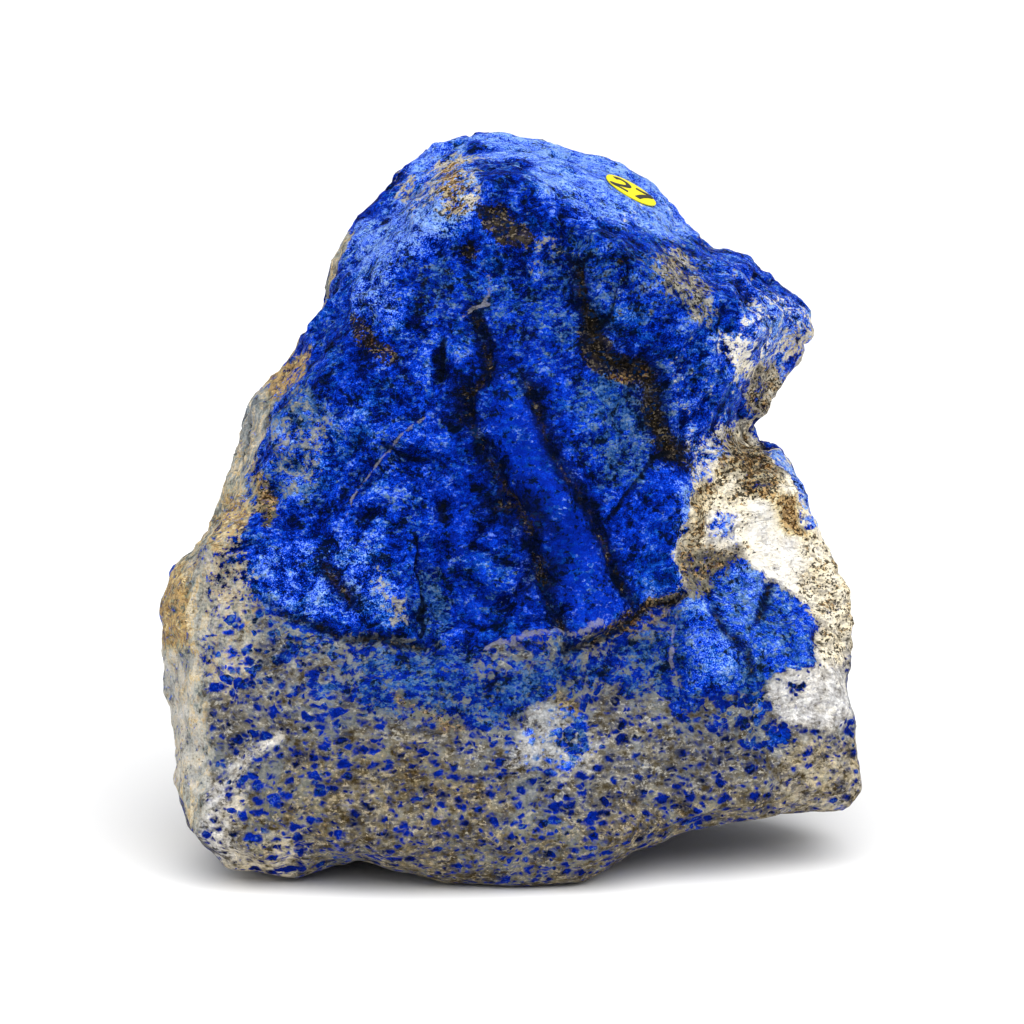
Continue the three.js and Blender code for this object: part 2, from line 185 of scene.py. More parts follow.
# What the zones say, each from 0 to about 1:
#   blue    share of lazurite, 1 is solid              light   how pale the blue is, partly painted light
#   white   calcite in place of grey matrix            iron    ochre and brown stain
#   dark    black and brown grains                     murk    grey-green grains within the blue
#   calm    smoothness of the skin                     banded  round specks, as in the grey band
#   folded  matrix in folds, drawn out upwards
# The light values are partly painted light and shade: high on lit tops, shoulders and facets, low in the
# hollow and under overhangs. The dark value of the black corner is partly painted shadow.
ZONES = [
    zone("middle of the face", [(-31, 68.5), (-10, 80), (2, 76), (2, 50), (-10, 37), (-28, 40),
         (-36, 50)], 6, light=0.36, murk=0.3),
    # Painted light: the lit top slope is made palest, with light 1.
    zone("top slope", [(-16, 101), (-11, 108), (-2, 112), (14, 110), (25, 100), (32, 92), (44, 86),
         (42.5, 82.5), (37.5, 85.5), (32.5, 88), (28, 89.5), (22.5, 90.5), (16, 92), (8.5, 95.5),
         (1, 102), (-6, 103.5), (-10, 102), (-14.5, 98.5)], 1.6, light=1, blue=0.88, calm=0.45, murk=0.1,
         dark=0, white=0.35),
    zone("grey end of the top slope", [(18, 98), (26.5, 94.5), (29, 89.5), (22, 91.5), (16.5, 94.5)], 1.6,
         blue=0.72, white=0.6),
    # Painted light: the shoulder and its pale top, which face the light, get high light values.
    zone("upper left shoulder", [(-22.5, 93), (-17, 97), (-11, 96.5), (-7.5, 92.5), (-10.5, 89.5),
         (-15.5, 85.5), (-16, 80), (-20.5, 80), (-23, 87)], 3, light=0.86, murk=0.05, dark=0.04),
    zone("pale top of the shoulder", [(-16, 99.5), (-11, 99), (-7.5, 93.5), (-10.5, 91.5), (-15.5, 95)],
         1.6, light=1, blue=0.8, murk=0.3, white=0.4),
    zone("dark wedge of the shoulder", [(-15.5, 88), (-10, 89), (-5.5, 84), (-5.5, 80), (-11.5, 80),
         (-15, 82.5)], 2.5, dark=0.36, murk=0.65, light=0.25),
    # Painted shade: the hollow of the core gets a low light value.
    zone("deep core", [(-6, 81.5), (7, 82.5), (12, 64.5), (18, 45), (12, 37), (-6, 34.5), (-13, 45),
         (-11, 62.5)], 5, light=0.22, calm=0.3, murk=0.15, dark=0.02),
    zone("bright left", [(-38.5, 46), (-35, 48), (-29.5, 49), (-23.5, 49.5), (-19, 49), (-17, 43.5),
         (-15.5, 38.5), (-20, 37), (-25.5, 39), (-29.5, 38), (-35, 40), (-38, 42)], 1.8, light=0.62,
         murk=0.25, blue=0.9, white=0.2),
    zone("pale flecks in it", [(-39.5, 41.5), (-36.5, 42.5), (-35, 39), (-39, 38.5)], 1, blue=0.5,
         murk=0.6, white=0.2),
    zone("blue rib", [(-2, 71), (2, 68.5), (8, 59), (13, 48), (14, 37), (9, 37), (4, 49), (-2, 62.5)],
         1.5, light=0.34, murk=0, calm=0.95, dark=-0.1),
    zone("leaf by the arc crack", [(18, 59), (22.5, 59), (24, 52), (23.5, 43.5), (18, 41.5), (15, 46),
         (14.5, 53)], 1.6, light=0.36, murk=0.1, calm=0.4, dark=0.02),
    zone("dark grains under the core", [(15.8, 38.9), (19.3, 41), (22.4, 42.2), (24, 40.6), (22, 38),
         (17.9, 35.5), (14.4, 34.5), (11.5, 34), (13, 36.3)], 0.9, dark=0.6, iron=0.6, blue=0.45),
    zone("frosted rim of the leaf", [(22, 57.5), (24.5, 56), (25, 43.5), (22.5, 42), (23, 49)], 1,
         light=0.85, blue=0.8, white=0.5),
    zone("murky right", [(9, 72), (16.5, 71.5), (20.5, 63), (18, 56), (12.5, 57.5), (9.5, 64.5)], 2.5,
         light=0.4, murk=0.9),
    zone("murky top", [(-4, 92), (6, 93), (18, 90), (16, 78.5), (4, 76.5), (-6, 78.5)], 3, light=0.36,
         murk=0.6),
    zone("tan patch", [(-11, 102), (-8, 103), (-5, 101.5), (-5.5, 96.5), (-7.5, 93.5), (-10, 94.5),
         (-11.5, 98)], 1.6, blue=0.5, iron=0.28, white=0.6, light=0.9, murk=0.5, dark=0.42),
    zone("rust in the tan patch", [(-9.5, 100.5), (-7.5, 101), (-7.5, 95), (-9, 94.5)], 0.8, iron=0.7,
         dark=0.6, blue=0.45),
    zone("tan edge", [(-17.5, 99), (-15, 101), (-13, 98), (-14.5, 96.5), (-17, 97)], 1.6, iron=0.3,
         blue=0.5, white=0.4, light=0.8),
    zone("dark brown patch", [(-5, 96), (-1.5, 96), (1, 93.5), (3, 91.5), (1, 89.5), (-1.5, 90.5),
         (-4, 92.5)], 0.8, dark=1.05, blue=0.55, iron=0.15),
    zone("black pit", [(-8.5, 90.5), (-6, 91), (-4, 89.5), (-5, 88), (-7.5, 88.5)], 0.8, dark=0.95,
         blue=0.8),
    zone("gold patch", [(-22.5, 80.5), (-21, 80), (-19.5, 77.5), (-17, 76.5), (-15.5, 74.5), (-17, 73),
         (-19.5, 74.5), (-22, 76.5)], 0.8, dark=0.85, iron=0.3, blue=0.75),
    zone("speckled upper front", [(6.5, 93.5), (16, 91.5), (25, 89), (26.5, 84), (21, 78.5), (12.5, 78.5),
         (11, 85.5)], 2.2, blue=0.78, dark=0.36, murk=0.6, light=0.42),
    zone("cream crumbs", [(1, 92), (3, 92.5), (8.5, 90), (7.5, 87), (4, 88), (3, 85.5), (1.5, 87)], 1.2,
         blue=0.66, iron=0.25, white=0.25, murk=0.6),
    # Painted shadow under the overhang of the block, over black grains.
    zone("black corner", [(9, 78.5), (11, 82.5), (12.5, 78.5), (14, 75), (19.5, 74), (19.5, 72.5),
         (13.5, 72), (10.5, 73)], 0.7, dark=1.05, blue=0.8, iron=0.1),
    zone("rust under the black corner", [(14, 72), (19.5, 73), (19.5, 71), (16.5, 70.5)], 0.7, iron=0.8,
         dark=0.6, blue=0.3),
    zone("dark right end", [(18, 71), (21, 70), (22, 66), (25, 61.5), (25.5, 59), (22, 59), (19.5, 63)],
         1.3, dark=0.85, murk=0.6, light=0.25, iron=0.1),
    zone("grey patch on the block", [(20.7, 87.9), (23.2, 88.5), (26.3, 87.1), (28.6, 84.3), (29.4, 80.9),
         (28, 79.5), (25.2, 80.9), (22.4, 82.9), (21, 85.1)], 1.8, blue=0.36, dark=0.45, white=0.45,
         iron=0.3, murk=0.7, light=0.5),
    zone("top of the block", [(26.5, 89), (32.5, 87.5), (39, 83.5), (35.5, 81), (31, 82.5), (28, 84.5)],
         1.8, blue=0.74, light=0.55, white=0.2, murk=0.3),
    # Partly painted light: the end of the block that faces the light gets a high light value.
    zone("block end", [(33, 82.5), (37, 85), (40.5, 83.5), (42.5, 80.5), (40.5, 75.5), (37, 70.5),
         (33.5, 74), (31.5, 79)], 1.8, blue=0.6, light=0.8, white=0.75, murk=0.35),
    zone("grey corner of the block", [(38, 78.5), (41.5, 79.5), (40.5, 74), (38, 73)], 1.2, blue=0.45,
         white=0.6, murk=0.3, iron=0.3),
    zone("white patch on the block", [(28, 77.3), (30.8, 79.5), (34.2, 77.3), (36.1, 73.1), (34.2, 69.7),
         (30.8, 70.3), (28.6, 73.6)], 1.6, blue=0.36, white=0.95, iron=0.08, light=0.8, murk=0.1,
         dark=0.2),
    zone("brown end of the block", [(33.6, 72.5), (36.4, 73.9), (39.2, 72.5), (38.2, 69.3), (36.1, 66.1),
         (34.2, 66.5), (33, 69.3)], 1.4, blue=0.3, white=0.5, iron=0.4, dark=0.55),
    zone("underside of the block", [(20, 76.5), (28.5, 77), (32, 71.5), (32.5, 64.5), (30, 60), (25, 59),
         (22, 63), (20.5, 70)], 1.8, blue=0.8, light=0.45, white=0.5, murk=0.5),
    zone("white shoulder", [(30, 64), (29.5, 60), (27, 56), (25, 52), (24.5, 46), (24, 41.5), (26.5, 41),
         (28.5, 43.5), (32, 45.5), (35.5, 43.5), (39.5, 41), (42, 36.5), (42.5, 32), (45, 30.5),
         (50, 33.5), (51, 46), (47, 57.5), (41.5, 64.5), (36, 65)], 1.8, blue=0.05, white=0.95, iron=0.28,
         dark=0.46, calm=0.1),
    zone("fringe over the shoulder", [(26, 63), (31, 63.5), (30.5, 59), (28, 57), (25.5, 58)], 1.4,
         blue=0.55, white=0.7, light=0.8),
    zone("tan strip", [(30.5, 59.5), (28.5, 54), (27.5, 49), (25.5, 43.5), (23, 41.5), (24, 48.5),
         (25, 54), (28, 58)], 1.6, iron=0.55, dark=0.6, white=0.8, blue=0.12),
    zone("brown corner", [(31, 63), (35.5, 62), (37.5, 59), (36, 54.5), (33, 55), (31.5, 59)], 1.5,
         iron=0.62, dark=0.75, white=0.5, blue=0.2, murk=0.3),
    zone("white core", [(32.5, 54.5), (37, 54), (41, 46), (40.5, 41.5), (36, 43.5), (33.5, 48.5)], 1.4,
         blue=0.02, white=1.15, iron=0.08, dark=0.2),
    zone("orange grains", [(35.5, 55.5), (40.5, 54.5), (42, 49.5), (39, 50)], 1, iron=0.85, dark=0.6,
         white=0.8, blue=0.05),
    zone("orange grains lower down", [(41.5, 46), (44.5, 45), (44, 41.5), (41, 42.5)], 1, iron=0.85,
         dark=0.58, white=0.8),
    zone("right rim", [(42, 49.5), (46, 42), (47.5, 35), (46.5, 31), (43, 33), (43, 37), (40.5, 42)], 1.2,
         white=0.85, iron=0.35, dark=0.52, blue=0.14),
    zone("blue edge strip", [(36.5, 62.5), (39, 62), (41, 58), (42.5, 54), (43.5, 50), (41, 50.5),
         (40, 54), (38, 57.5)], 0.9, blue=0.66, light=1, white=0.75, dark=0, iron=0.05),
    zone("blue spot in the white", [(27.5, 52.5), (29.5, 54), (32, 52.5), (32, 48.5), (29.5, 48),
         (27, 49)], 1, blue=0.6, light=0.8, murk=0.2, iron=0, dark=0.1, white=0.6),
    zone("grey wedge over the facet", [(24, 48.5), (27, 48), (32, 48), (33.5, 44), (31, 41), (26.5, 40.5),
         (24, 41.5)], 1.1, blue=0.34, dark=0.45, white=0.15, iron=0.4, murk=0.6),
    zone("lower right facet", [(24, 40.5), (28.5, 42.5), (32, 45.5), (35.5, 43.5), (39.5, 41), (42, 36.5),
         (42.5, 32), (36.5, 31), (33.5, 28.5), (26, 28), (24, 29.5), (23, 33)], 1.6, blue=0.97,
         light=0.66, white=0, iron=0.1, calm=0.45, murk=0.7, dark=0),
    # Painted light: the parts of the facet that face the light get higher light values.
    zone("bright side of the facet", [(24, 40.5), (28.5, 41.5), (31.5, 36.5), (31, 30.5), (26.5, 28.5),
         (23.5, 33.5)], 1.6, light=0.78, murk=0.6),
    zone("bright top of the facet", [(30, 44.5), (33, 45.5), (36, 42), (34.5, 39), (31.5, 40.5)], 1.4,
         light=0.86, murk=0.5),
    zone("deep triangle by the facet", [(19.5, 35), (22.5, 36), (24, 28), (26.5, 25.5), (23.5, 25),
         (20, 28)], 1, blue=0.92, light=0.36),
    zone("blue under the ledge", [(-24, 35), (-13, 35), (-2, 31), (7, 32), (12, 34), (23, 39), (23, 27.5),
         (18, 26.5), (7, 28.5), (1, 23.5), (-9, 21.5), (-18, 23.5), (-24, 27.5)], 2.4, blue=0.62,
         light=0.22, murk=0.8, banded=0.35, dark=0.12),
    zone("speckled left of the band", [(-43.5, 39), (-35, 39.5), (-25.5, 35), (-19.5, 35), (-19.5, 27.5),
         (-29.5, 26.5), (-42.5, 28)], 2.2, blue=0.5, light=0.15, white=0.15, iron=0.08, murk=0.6,
         dark=0.12),
    zone("rusty streak", [(-18, 28), (-15, 28), (-9.5, 25), (-6, 22), (-10, 21.5), (-15, 24.5)], 1.4,
         iron=0.6, dark=0.45, blue=0.3),
    zone("tan clouds of the band", [(-31, 20.5), (-13, 21), (-1.5, 14), (-4.5, 8.5), (-18.5, 10.5),
         (-29.5, 14)], 3, iron=0.5, dark=0.22),
    zone("calcite triangle", [(2.9, 25.5), (4.6, 26.6), (6.7, 26.6), (8.4, 24.1), (10.9, 21.3),
         (12.7, 20.3), (12, 17.1), (7.6, 16.5), (1.7, 17.4), (0.3, 19.3), (1.7, 21.3)], 1.6, blue=0.22,
         white=0.5, iron=0, dark=0, murk=0.75, light=0.9),
    zone("blue clump in it", [(6.2, 21.7), (8.8, 23), (11.2, 21), (10.9, 18.6), (7.6, 18.5)], 1, blue=0.8,
         light=0.35),
    zone("rust above the calcite", [(4.5, 28.5), (9, 27), (9.5, 24), (7.5, 25)], 1, iron=0.7, dark=0.3),
    zone("right calcite", [(35, 28), (37, 30), (40.5, 31), (45, 31.5), (48, 30), (48.5, 26), (47, 23),
         (43, 22.5), (40.5, 22.5), (37.5, 23.5), (36, 26)], 0.9, blue=0.03, white=0.68, iron=0.03,
         dark=0.05, murk=0.4),
    zone("blue clump in the right calcite", [(39, 29), (41, 29), (41, 26), (39.5, 25.5)], 0.6, blue=0.72,
         light=0.3),
    zone("blue clump left of it", [(33, 28.5), (35.5, 28.5), (36, 24), (33.5, 23.5)], 0.8, blue=0.85,
         light=0.36),
    zone("blue clump under it", [(36, 23.5), (39.5, 22.5), (39.5, 20.5), (36, 20.5)], 0.7, blue=0.8,
         light=0.3),
    zone("lower left calcite", [(-43.7, 15.4), (-39.2, 16.8), (-37.2, 14), (-39.2, 8.4), (-36.7, 3),
         (-41.6, 5.6), (-44.2, 9.8)], 1.6, white=0.55, blue=0.2, iron=0.05),
    zone("pale streak of the corner", [(-40.2, 15.7), (-38, 16.5), (-35, 19.3), (-31.8, 21.6),
         (-32.5, 22.1), (-36, 20.7), (-39.2, 18.5), (-40.9, 17)], 0.8, white=0.75, blue=0.08, murk=0.3,
         dark=0),
    zone("white crumbs", [(-36, 7.7), (-29.7, 8.7), (-29.7, 3), (-35, 2.1)], 1.6, white=0.45, blue=0.3,
         iron=0.1),
    zone("left flank", [(-23, 92), (-26, 87), (-28, 80), (-29.5, 76.5), (-32, 68.5), (-34, 63),
         (-35.5, 57.5), (-37.5, 52), (-39, 46), (-40.5, 40.5), (-41, 32), (-43, 24), (-43.5, 15.5),
         (-43, 5.5), (-60.5, 1.5), (-60.5, 46), (-47, 61), (-34, 78.5), (-27, 94)], 1.4, blue=0.13,
         white=0.2, iron=0.25, light=0.75, murk=0.5, dark=0.12, banded=0.25, folded=0.9),
    zone("specks along the left edge", [(-43.5, 48), (-37.5, 49), (-35.5, 45), (-36, 38), (-37, 34),
         (-39, 27), (-44, 27), (-44.5, 38)], 1.6, blue=0.42, iron=0.28, white=0.3, light=0.35, folded=0.5,
         murk=0.5),
    zone("ochre patch", [(-32.5, 74), (-29.5, 74.5), (-29.5, 71), (-31, 68.5), (-34, 68), (-34.5, 70.5)],
         1.6, iron=0.85, blue=0.3, white=0.1, folded=0.9),
    zone("grey under the ochre", [(-36, 70.5), (-34, 68.5), (-35, 63), (-37.5, 59), (-38, 64.5)], 1.6,
         iron=0.05, blue=0.25, murk=0.8, white=0.3, folded=0.9),
    zone("brown fold", [(-36.5, 59), (-35, 59.5), (-33, 54.5), (-33, 50.5), (-35, 49), (-36, 53)], 0.9,
         iron=0.6, dark=0.55, blue=0.3),
    zone("tan fold", [(-42.5, 52), (-39, 56), (-36, 54), (-36.5, 48.5), (-40, 46)], 1.6, iron=0.55,
         blue=0.32, white=0.2, folded=0.8),
    zone("tan bump", [(-60, 44), (-46.5, 46), (-44.5, 42.5), (-45, 38), (-45.5, 33.5), (-60, 33.5)], 1.2,
         iron=0.7, blue=0.28, white=0.1, folded=0.9, dark=0.25),
    zone("pale foot of the flank", [(-60, 33.5), (-45, 33.5), (-44, 24), (-43.5, 14), (-60, 14)], 1.6,
         white=0.5, blue=0.25, iron=0.2, folded=0.6),
    zone("speckled left", [(-32, 70.5), (-28.5, 71.5), (-25, 66), (-26, 59), (-29.5, 54.5), (-33, 56),
         (-35, 59), (-34, 64.5)], 2.2, blue=0.58, light=0.65, murk=0.9, white=0.3),
    zone("cream spot", [(-20.5, 48), (-18.5, 48), (-17, 46), (-17.5, 42.5), (-19.5, 41.5), (-20, 45)],
         1.6, blue=0.5, white=0.4, iron=0.1, murk=0.6),
    zone("lower cream spot", [(-17.5, 41), (-15.5, 40.5), (-15, 37.5), (-17, 37)], 1.6, blue=0.5,
         white=0.3, iron=0.1, murk=0.6),
    zone("murk by the wedge", [(-12.5, 46.5), (-10, 46), (-8.5, 35), (-13, 33.5), (-15, 40.5)], 1.2,
         murk=0.85, light=0.28),
    zone("tan foot", [(-40, 12), (-30, 20), (-18, 16), (-7, 11), (7, 10), (18, 13), (29, 14), (40, 16.5),
         (55, 17.5), (55, 5), (26, 3), (12, -4), (-30, -4), (-38, 0)], 3.5, iron=0.42, dark=0.14),
    zone("beige corner", [(39, 21.5), (46, 21.5), (51, 21.5), (52, 8), (37.5, 10)], 1.8, white=0.3,
         iron=0.42, blue=0.24, dark=0.12),
]

# Lines on the face: path, half width and depth in mm, and kind.
LINES = [
    ("left vein", [(-5.2, 81.1), (-3.6, 76.3), (-3.1, 71.8), (-5.9, 69.7), (-6.4, 67.3), (-5.7, 65.2),
     (-3.9, 60.9), (-1.5, 56.4), (0.6, 53.3), (2.5, 50.3), (3.5, 45.5), (4.9, 40.5), (6.3, 37.4),
     (7.3, 35.4)], 0.5, 0.8, "vein"),
    ("black parts of the left vein", [(-6.9, 69.7), (-7, 66.5)], 0.9, 0.7, "vein"),
    ("black pocket", [(-2.1, 54.3), (0.4, 53.5), (2.2, 51.5)], 1.3, 0.8, "vein"),
    ("rust pocket", [(3.9, 45.4), (4.3, 43.4)], 1, 0.5, "vein"),
    ("right vein", [(1.7, 71.8), (3.4, 67.5), (4.9, 63.6), (6.6, 59.5), (9.4, 55.7), (11.3, 52.4),
     (13, 48.3), (14.4, 44.2), (16.8, 40.5)], 0.5, 0.7, "vein"),
    ("upper vein", [(9, 86.8), (9.8, 82.7), (11.2, 78.7), (11.9, 74.9), (15.3, 73.6), (18.8, 73.2)], 0.8,
     0.9, "vein"),
    ("lower end of the upper vein", [(19, 72.5), (19.3, 69.3), (20.7, 65.8), (21.8, 63), (23, 61.7)], 1,
     0.6, "vein"),
    ("joint under the core", [(7, 33.3), (11.9, 35), (15.8, 37), (19.3, 40), (22.4, 40.6), (23.8, 41.7)],
     0.3, 1, "vein"),
    ("vein by the facet", [(36.4, 42.6), (35.6, 40.3), (34.4, 37.8)], 0.28, 0.4, "vein"),
    ("seam in the facet", [(29, 39.5), (29.4, 37.7), (30.4, 35.3), (32.5, 33.3), (33.3, 30.5)], 0.28, 0.3,
     "vein"),
    ("left boundary", [(-34.2, 40.3), (-31.4, 38.1), (-26.9, 37), (-23.4, 35), (-18.8, 35.3),
     (-15.7, 34.4), (-12.9, 33.6)], 0.25, 0.5, "vein"),
    ("gold streak on the left", [(-26.2, 45.4), (-24.8, 43.7), (-23.7, 42), (-22.4, 40.6)], 0.55, 0.3,
     "vein"),
    ("pale thread", [(-11.5, 66.4), (-13.6, 65), (-15.7, 62.9), (-17.8, 60.8), (-20.6, 58), (-22.4, 55.2),
     (-23.4, 52.4)], 0.2, -0.15, "thread"),
    ("short pale thread", [(-3.6, 87.1), (-3.2, 84.7), (-3.8, 82.9)], 0.4, 0, "thread"),
    ("thread by the shoulder", [(-2.8, 82.6), (-5.6, 81.9), (-7.3, 80.1)], 0.22, 0, "thread"),
    ("thread by the facet", [(23, 40.6), (22.7, 38.4), (22.4, 36.3), (22.5, 31.5), (24.1, 28)], 0.28,
     -0.1, "thread"),
    ("tan ridge", [(-3.4, 32.3), (-2.4, 32.9), (1.1, 33.6), (3.9, 34.3), (8.1, 35.4), (12.3, 37.1)], 0.45,
     -0.35, "thread"),
    ("arc crack", [(22.7, 61.6), (20.2, 60.5), (18.2, 58.1), (15.3, 54.3), (13.9, 52.1)], 0.32, 0.7,
     "crack"),
    ("wedge crack", [(-13.2, 49), (-13, 46.9), (-13, 40.6), (-13.2, 35.3)], 0.4, 0.9, "crack"),
    ("slit under the ledge", [(-17.8, 62.3), (-15.7, 61.3), (-13.6, 60.6), (-11.2, 60.5)], 0.4, 1.2,
     "crack"),
    ("upright slit", [(-9.7, 77), (-9.8, 74.5), (-10.1, 71.7)], 0.42, 0.9, "crack"),
    ("pit by the vein", [(-5.7, 56.8), (-5.3, 56.6)], 0.7, 0.8, "crack"),
    ("pit in the hollow", [(-10.1, 53.5), (-9.8, 51.8)], 0.8, 0.8, "crack"),
    ("pyrite pit", [(-4.1, 35.6), (-3.9, 35.4)], 0.5, 0.4, "crack"),
]

# Swells and steps of the face: centre line, half width and height in mm.
SWELLS = [
    ("rib between the veins", [(-1.7, 71), (1.5, 63), (5, 55.5), (8.5, 49), (11.5, 42)], 3.2, 0.9),
    ("leaf by the arc crack", [(18, 52), (21, 56)], 5.5, 0.9),
    ("lip over the slit", [(-18, 64.2), (-14, 62.9), (-11, 62.3)], 1.5, 0.8),
    ("wedge leaf", [(-12, 38), (-12.2, 46)], 1.3, -0.7),
    ("corner of the block", [(41.5, 81.5), (42.5, 79)], 3, 0.6),
    ("upper left corner", [(-24, 86), (-22, 92)], 3, 1),
    ("lower left corner", [(-44, 8), (-40, 4)], 3, 1),
    ("lower right corner", [(48.5, 14), (47, 11)], 3, 0.9),
    ("cheek of the block", [(41, 78), (39.8, 74.5)], 2.2, 0.8),
    ("floor of the notch", [(34, 63.5), (36.5, 63.5)], 2, -0.9),
]

# Balls of other stuff in the back and sides, in the leaning frame: centre, radius, softness and stuff.
CLOUDS = [
    ((22, 30, 78), 20, 6, {"blue": 0.55, "white": 0.3, "light": 0.3}),
    ((-22, 30, 60), 22, 7, {"blue": 0.35, "iron": 0.35, "white": 0.3}),
    ((30, 28, 30), 17, 5, {"blue": 0.2, "white": 0.8}),
    ((0, 34, 55), 16, 5, {"blue": 0.97, "light": 0.2}),
    ((-30, 18, 22), 14, 5, {"blue": 0.25, "white": 0.6, "iron": 0.2}),
    ((6, 30, 98), 14, 5, {"blue": 0.8, "light": 0.55}),
    ((42, 14, 45), 13, 4, {"blue": 0.12, "white": 0.85, "iron": 0.35}),
]

# What the stone is made of before the zones, above the band and in it.
START = dict(folded=0, banded=0, blue=1, light=0.3, white=0, iron=0.04, dark=0.06, murk=0.35, calm=0)
BAND = dict(folded=0, banded=1, blue=0.27, light=0.02, white=0.1, iron=0.14, dark=0.05, murk=0.1,
            calm=0.6)

# What the skin carries to its material.
CARRIED = ("blue", "light", "white", "iron", "dark", "murk", "calm", "banded", "folded", "relief",
           "cleft", "vein", "thread", "crack")
LINE_KINDS = ("vein", "thread", "crack")
FAR = 9.0  # what a place says that is nowhere near a line, in half widths of the line
RELIEF_GAIN = 1.3

# The flat views of the skin: the way each looks out of the stone, its across and up directions, its lower
# left corner on the map, and map widths per metre.
VIEWS = [
    ((0.0, -1.0, 0.24), (1.0, 0.0, 0.0), (0.0, 0.24, 0.97), (0.004, 0.355), 5.9),
    ((0.0, 1.0, 0.0), (-1.0, 0.0, 0.0), (0.0, 0.0, 1.0), (0.610, 0.620), 3.8),
    ((0.0, 0.0, 1.0), (1.0, 0.0, 0.0), (0.0, 1.0, 0.0), (0.610, 0.315), 3.8),
    ((0.0, 0.0, -1.0), (1.0, 0.0, 0.0), (0.0, -1.0, 0.0), (0.610, 0.005), 3.8),
    ((-1.0, 0.0, 0.0), (0.0, -1.0, 0.0), (0.0, 0.0, 1.0), (0.004, 0.004), 3.5),
    ((1.0, 0.0, 0.0), (0.0, 1.0, 0.0), (0.0, 0.0, 1.0), (0.305, 0.004), 3.5),
]


# ---- settings ----------------------------------------------------------------------------------------


class StoneSettings(bpy.types.PropertyGroup):
    """How the stone is carved"""

    voxel: bpy.props.FloatProperty(
        name="Skin grain", description="Spacing of the carved skin's points", default=0.000625,
        unit="LENGTH")
    chip_height: bpy.props.FloatProperty(
        name="Chip height", description="How deep the broken chips are cut, against their usual depth",
        default=1.0, min=0.0, max=2.0)
    seed: bpy.props.IntProperty(name="Seed", description="Picks another broken skin", default=11)
    # The blues run from painted shade to painted highlight: night blue is partly painted shade in clefts
    # and hollows, and bright and pale blue are partly painted highlight on ridges and lit places.
    night_blue: bpy.props.FloatVectorProperty(
        name="Night blue", description="Lazurite deep in a cleft", subtype="COLOR", size=3,
        default=(0.0002, 0.0030, 0.045))
    deep_blue: bpy.props.FloatVectorProperty(
        name="Deep blue", description="Solid lazurite", subtype="COLOR", size=3,
        default=(0.0004, 0.016, 0.30))
    bright_blue: bpy.props.FloatVectorProperty(
        name="Bright blue", description="Lazurite on ridges and fresh breaks", subtype="COLOR", size=3,
        default=(0.003, 0.066, 0.76))
    pale_blue: bpy.props.FloatVectorProperty(
        name="Pale blue", description="Bruised and frosted lazurite", subtype="COLOR", size=3,
        default=(0.19, 0.35, 0.97))
    grey: bpy.props.FloatVectorProperty(
        name="Grey matrix", description="Fine grey rock between the blue grains", subtype="COLOR", size=3,
        default=(0.142, 0.131, 0.103))
    calcite: bpy.props.FloatVectorProperty(
        name="Calcite", description="White calcite", subtype="COLOR", size=3,
        default=(0.78, 0.765, 0.765))
    iron: bpy.props.FloatVectorProperty(
        name="Iron stain", description="Ochre stain in the matrix", subtype="COLOR", size=3,
        default=(0.26, 0.15, 0.055))
    black: bpy.props.FloatVectorProperty(
        name="Black grains", description="Dark grains in the veins", subtype="COLOR", size=3,
        default=(0.006, 0.005, 0.004))


class LabelSettings(bpy.types.PropertyGroup):
    """The round paper label"""

    diameter: bpy.props.FloatProperty(
        name="Diameter", description="Diameter of the paper dot", default=0.008, unit="LENGTH")
    thickness: bpy.props.FloatProperty(
        name="Thickness", description="Thickness of the paper and its glue", default=0.00014,
        unit="LENGTH")
    paper: bpy.props.FloatVectorProperty(
        name="Paper", description="Colour of the paper", subtype="COLOR", size=3,
        default=(0.92, 0.80, 0.0))
    ink: bpy.props.FloatVectorProperty(
        name="Ink", description="Colour of the pen", subtype="COLOR", size=3,
        default=(0.012, 0.012, 0.014))
    pen: bpy.props.FloatProperty(
        name="Pen width", description="Width of a pen stroke", default=0.00090, unit="LENGTH")


class StageSettings(bpy.types.PropertyGroup):
    """Floor, light and camera"""

    floor_size: bpy.props.FloatProperty(
        name="Floor size", description="Side of the square floor", default=8.0, unit="LENGTH")
    floor: bpy.props.FloatVectorProperty(
        name="Floor colour", description="Colour of the floor", subtype="COLOR", size=3,
        default=(0.94, 0.94, 0.94))
    sky: bpy.props.FloatProperty(
        name="Room light", description="Strength of the even light of the room", default=0.42)
    overhead: bpy.props.FloatProperty(
        name="Overhead light", description="Strength of the broad light from above", default=2.8)
    right_watts: bpy.props.FloatProperty(
        name="Right softbox", description="Power of the softbox high on the right", default=2.0)
    front_watts: bpy.props.FloatProperty(
        name="Front softbox", description="Power of the softbox beside the camera", default=0.6)
    left_watts: bpy.props.FloatProperty(
        name="Left softbox", description="Power of the softbox on the left", default=2.2)
    lens: bpy.props.FloatProperty(
        name="Lens", description="Focal length in millimetres", default=200.9)


# ---- shader maths ------------------------------------------------------------------------------------


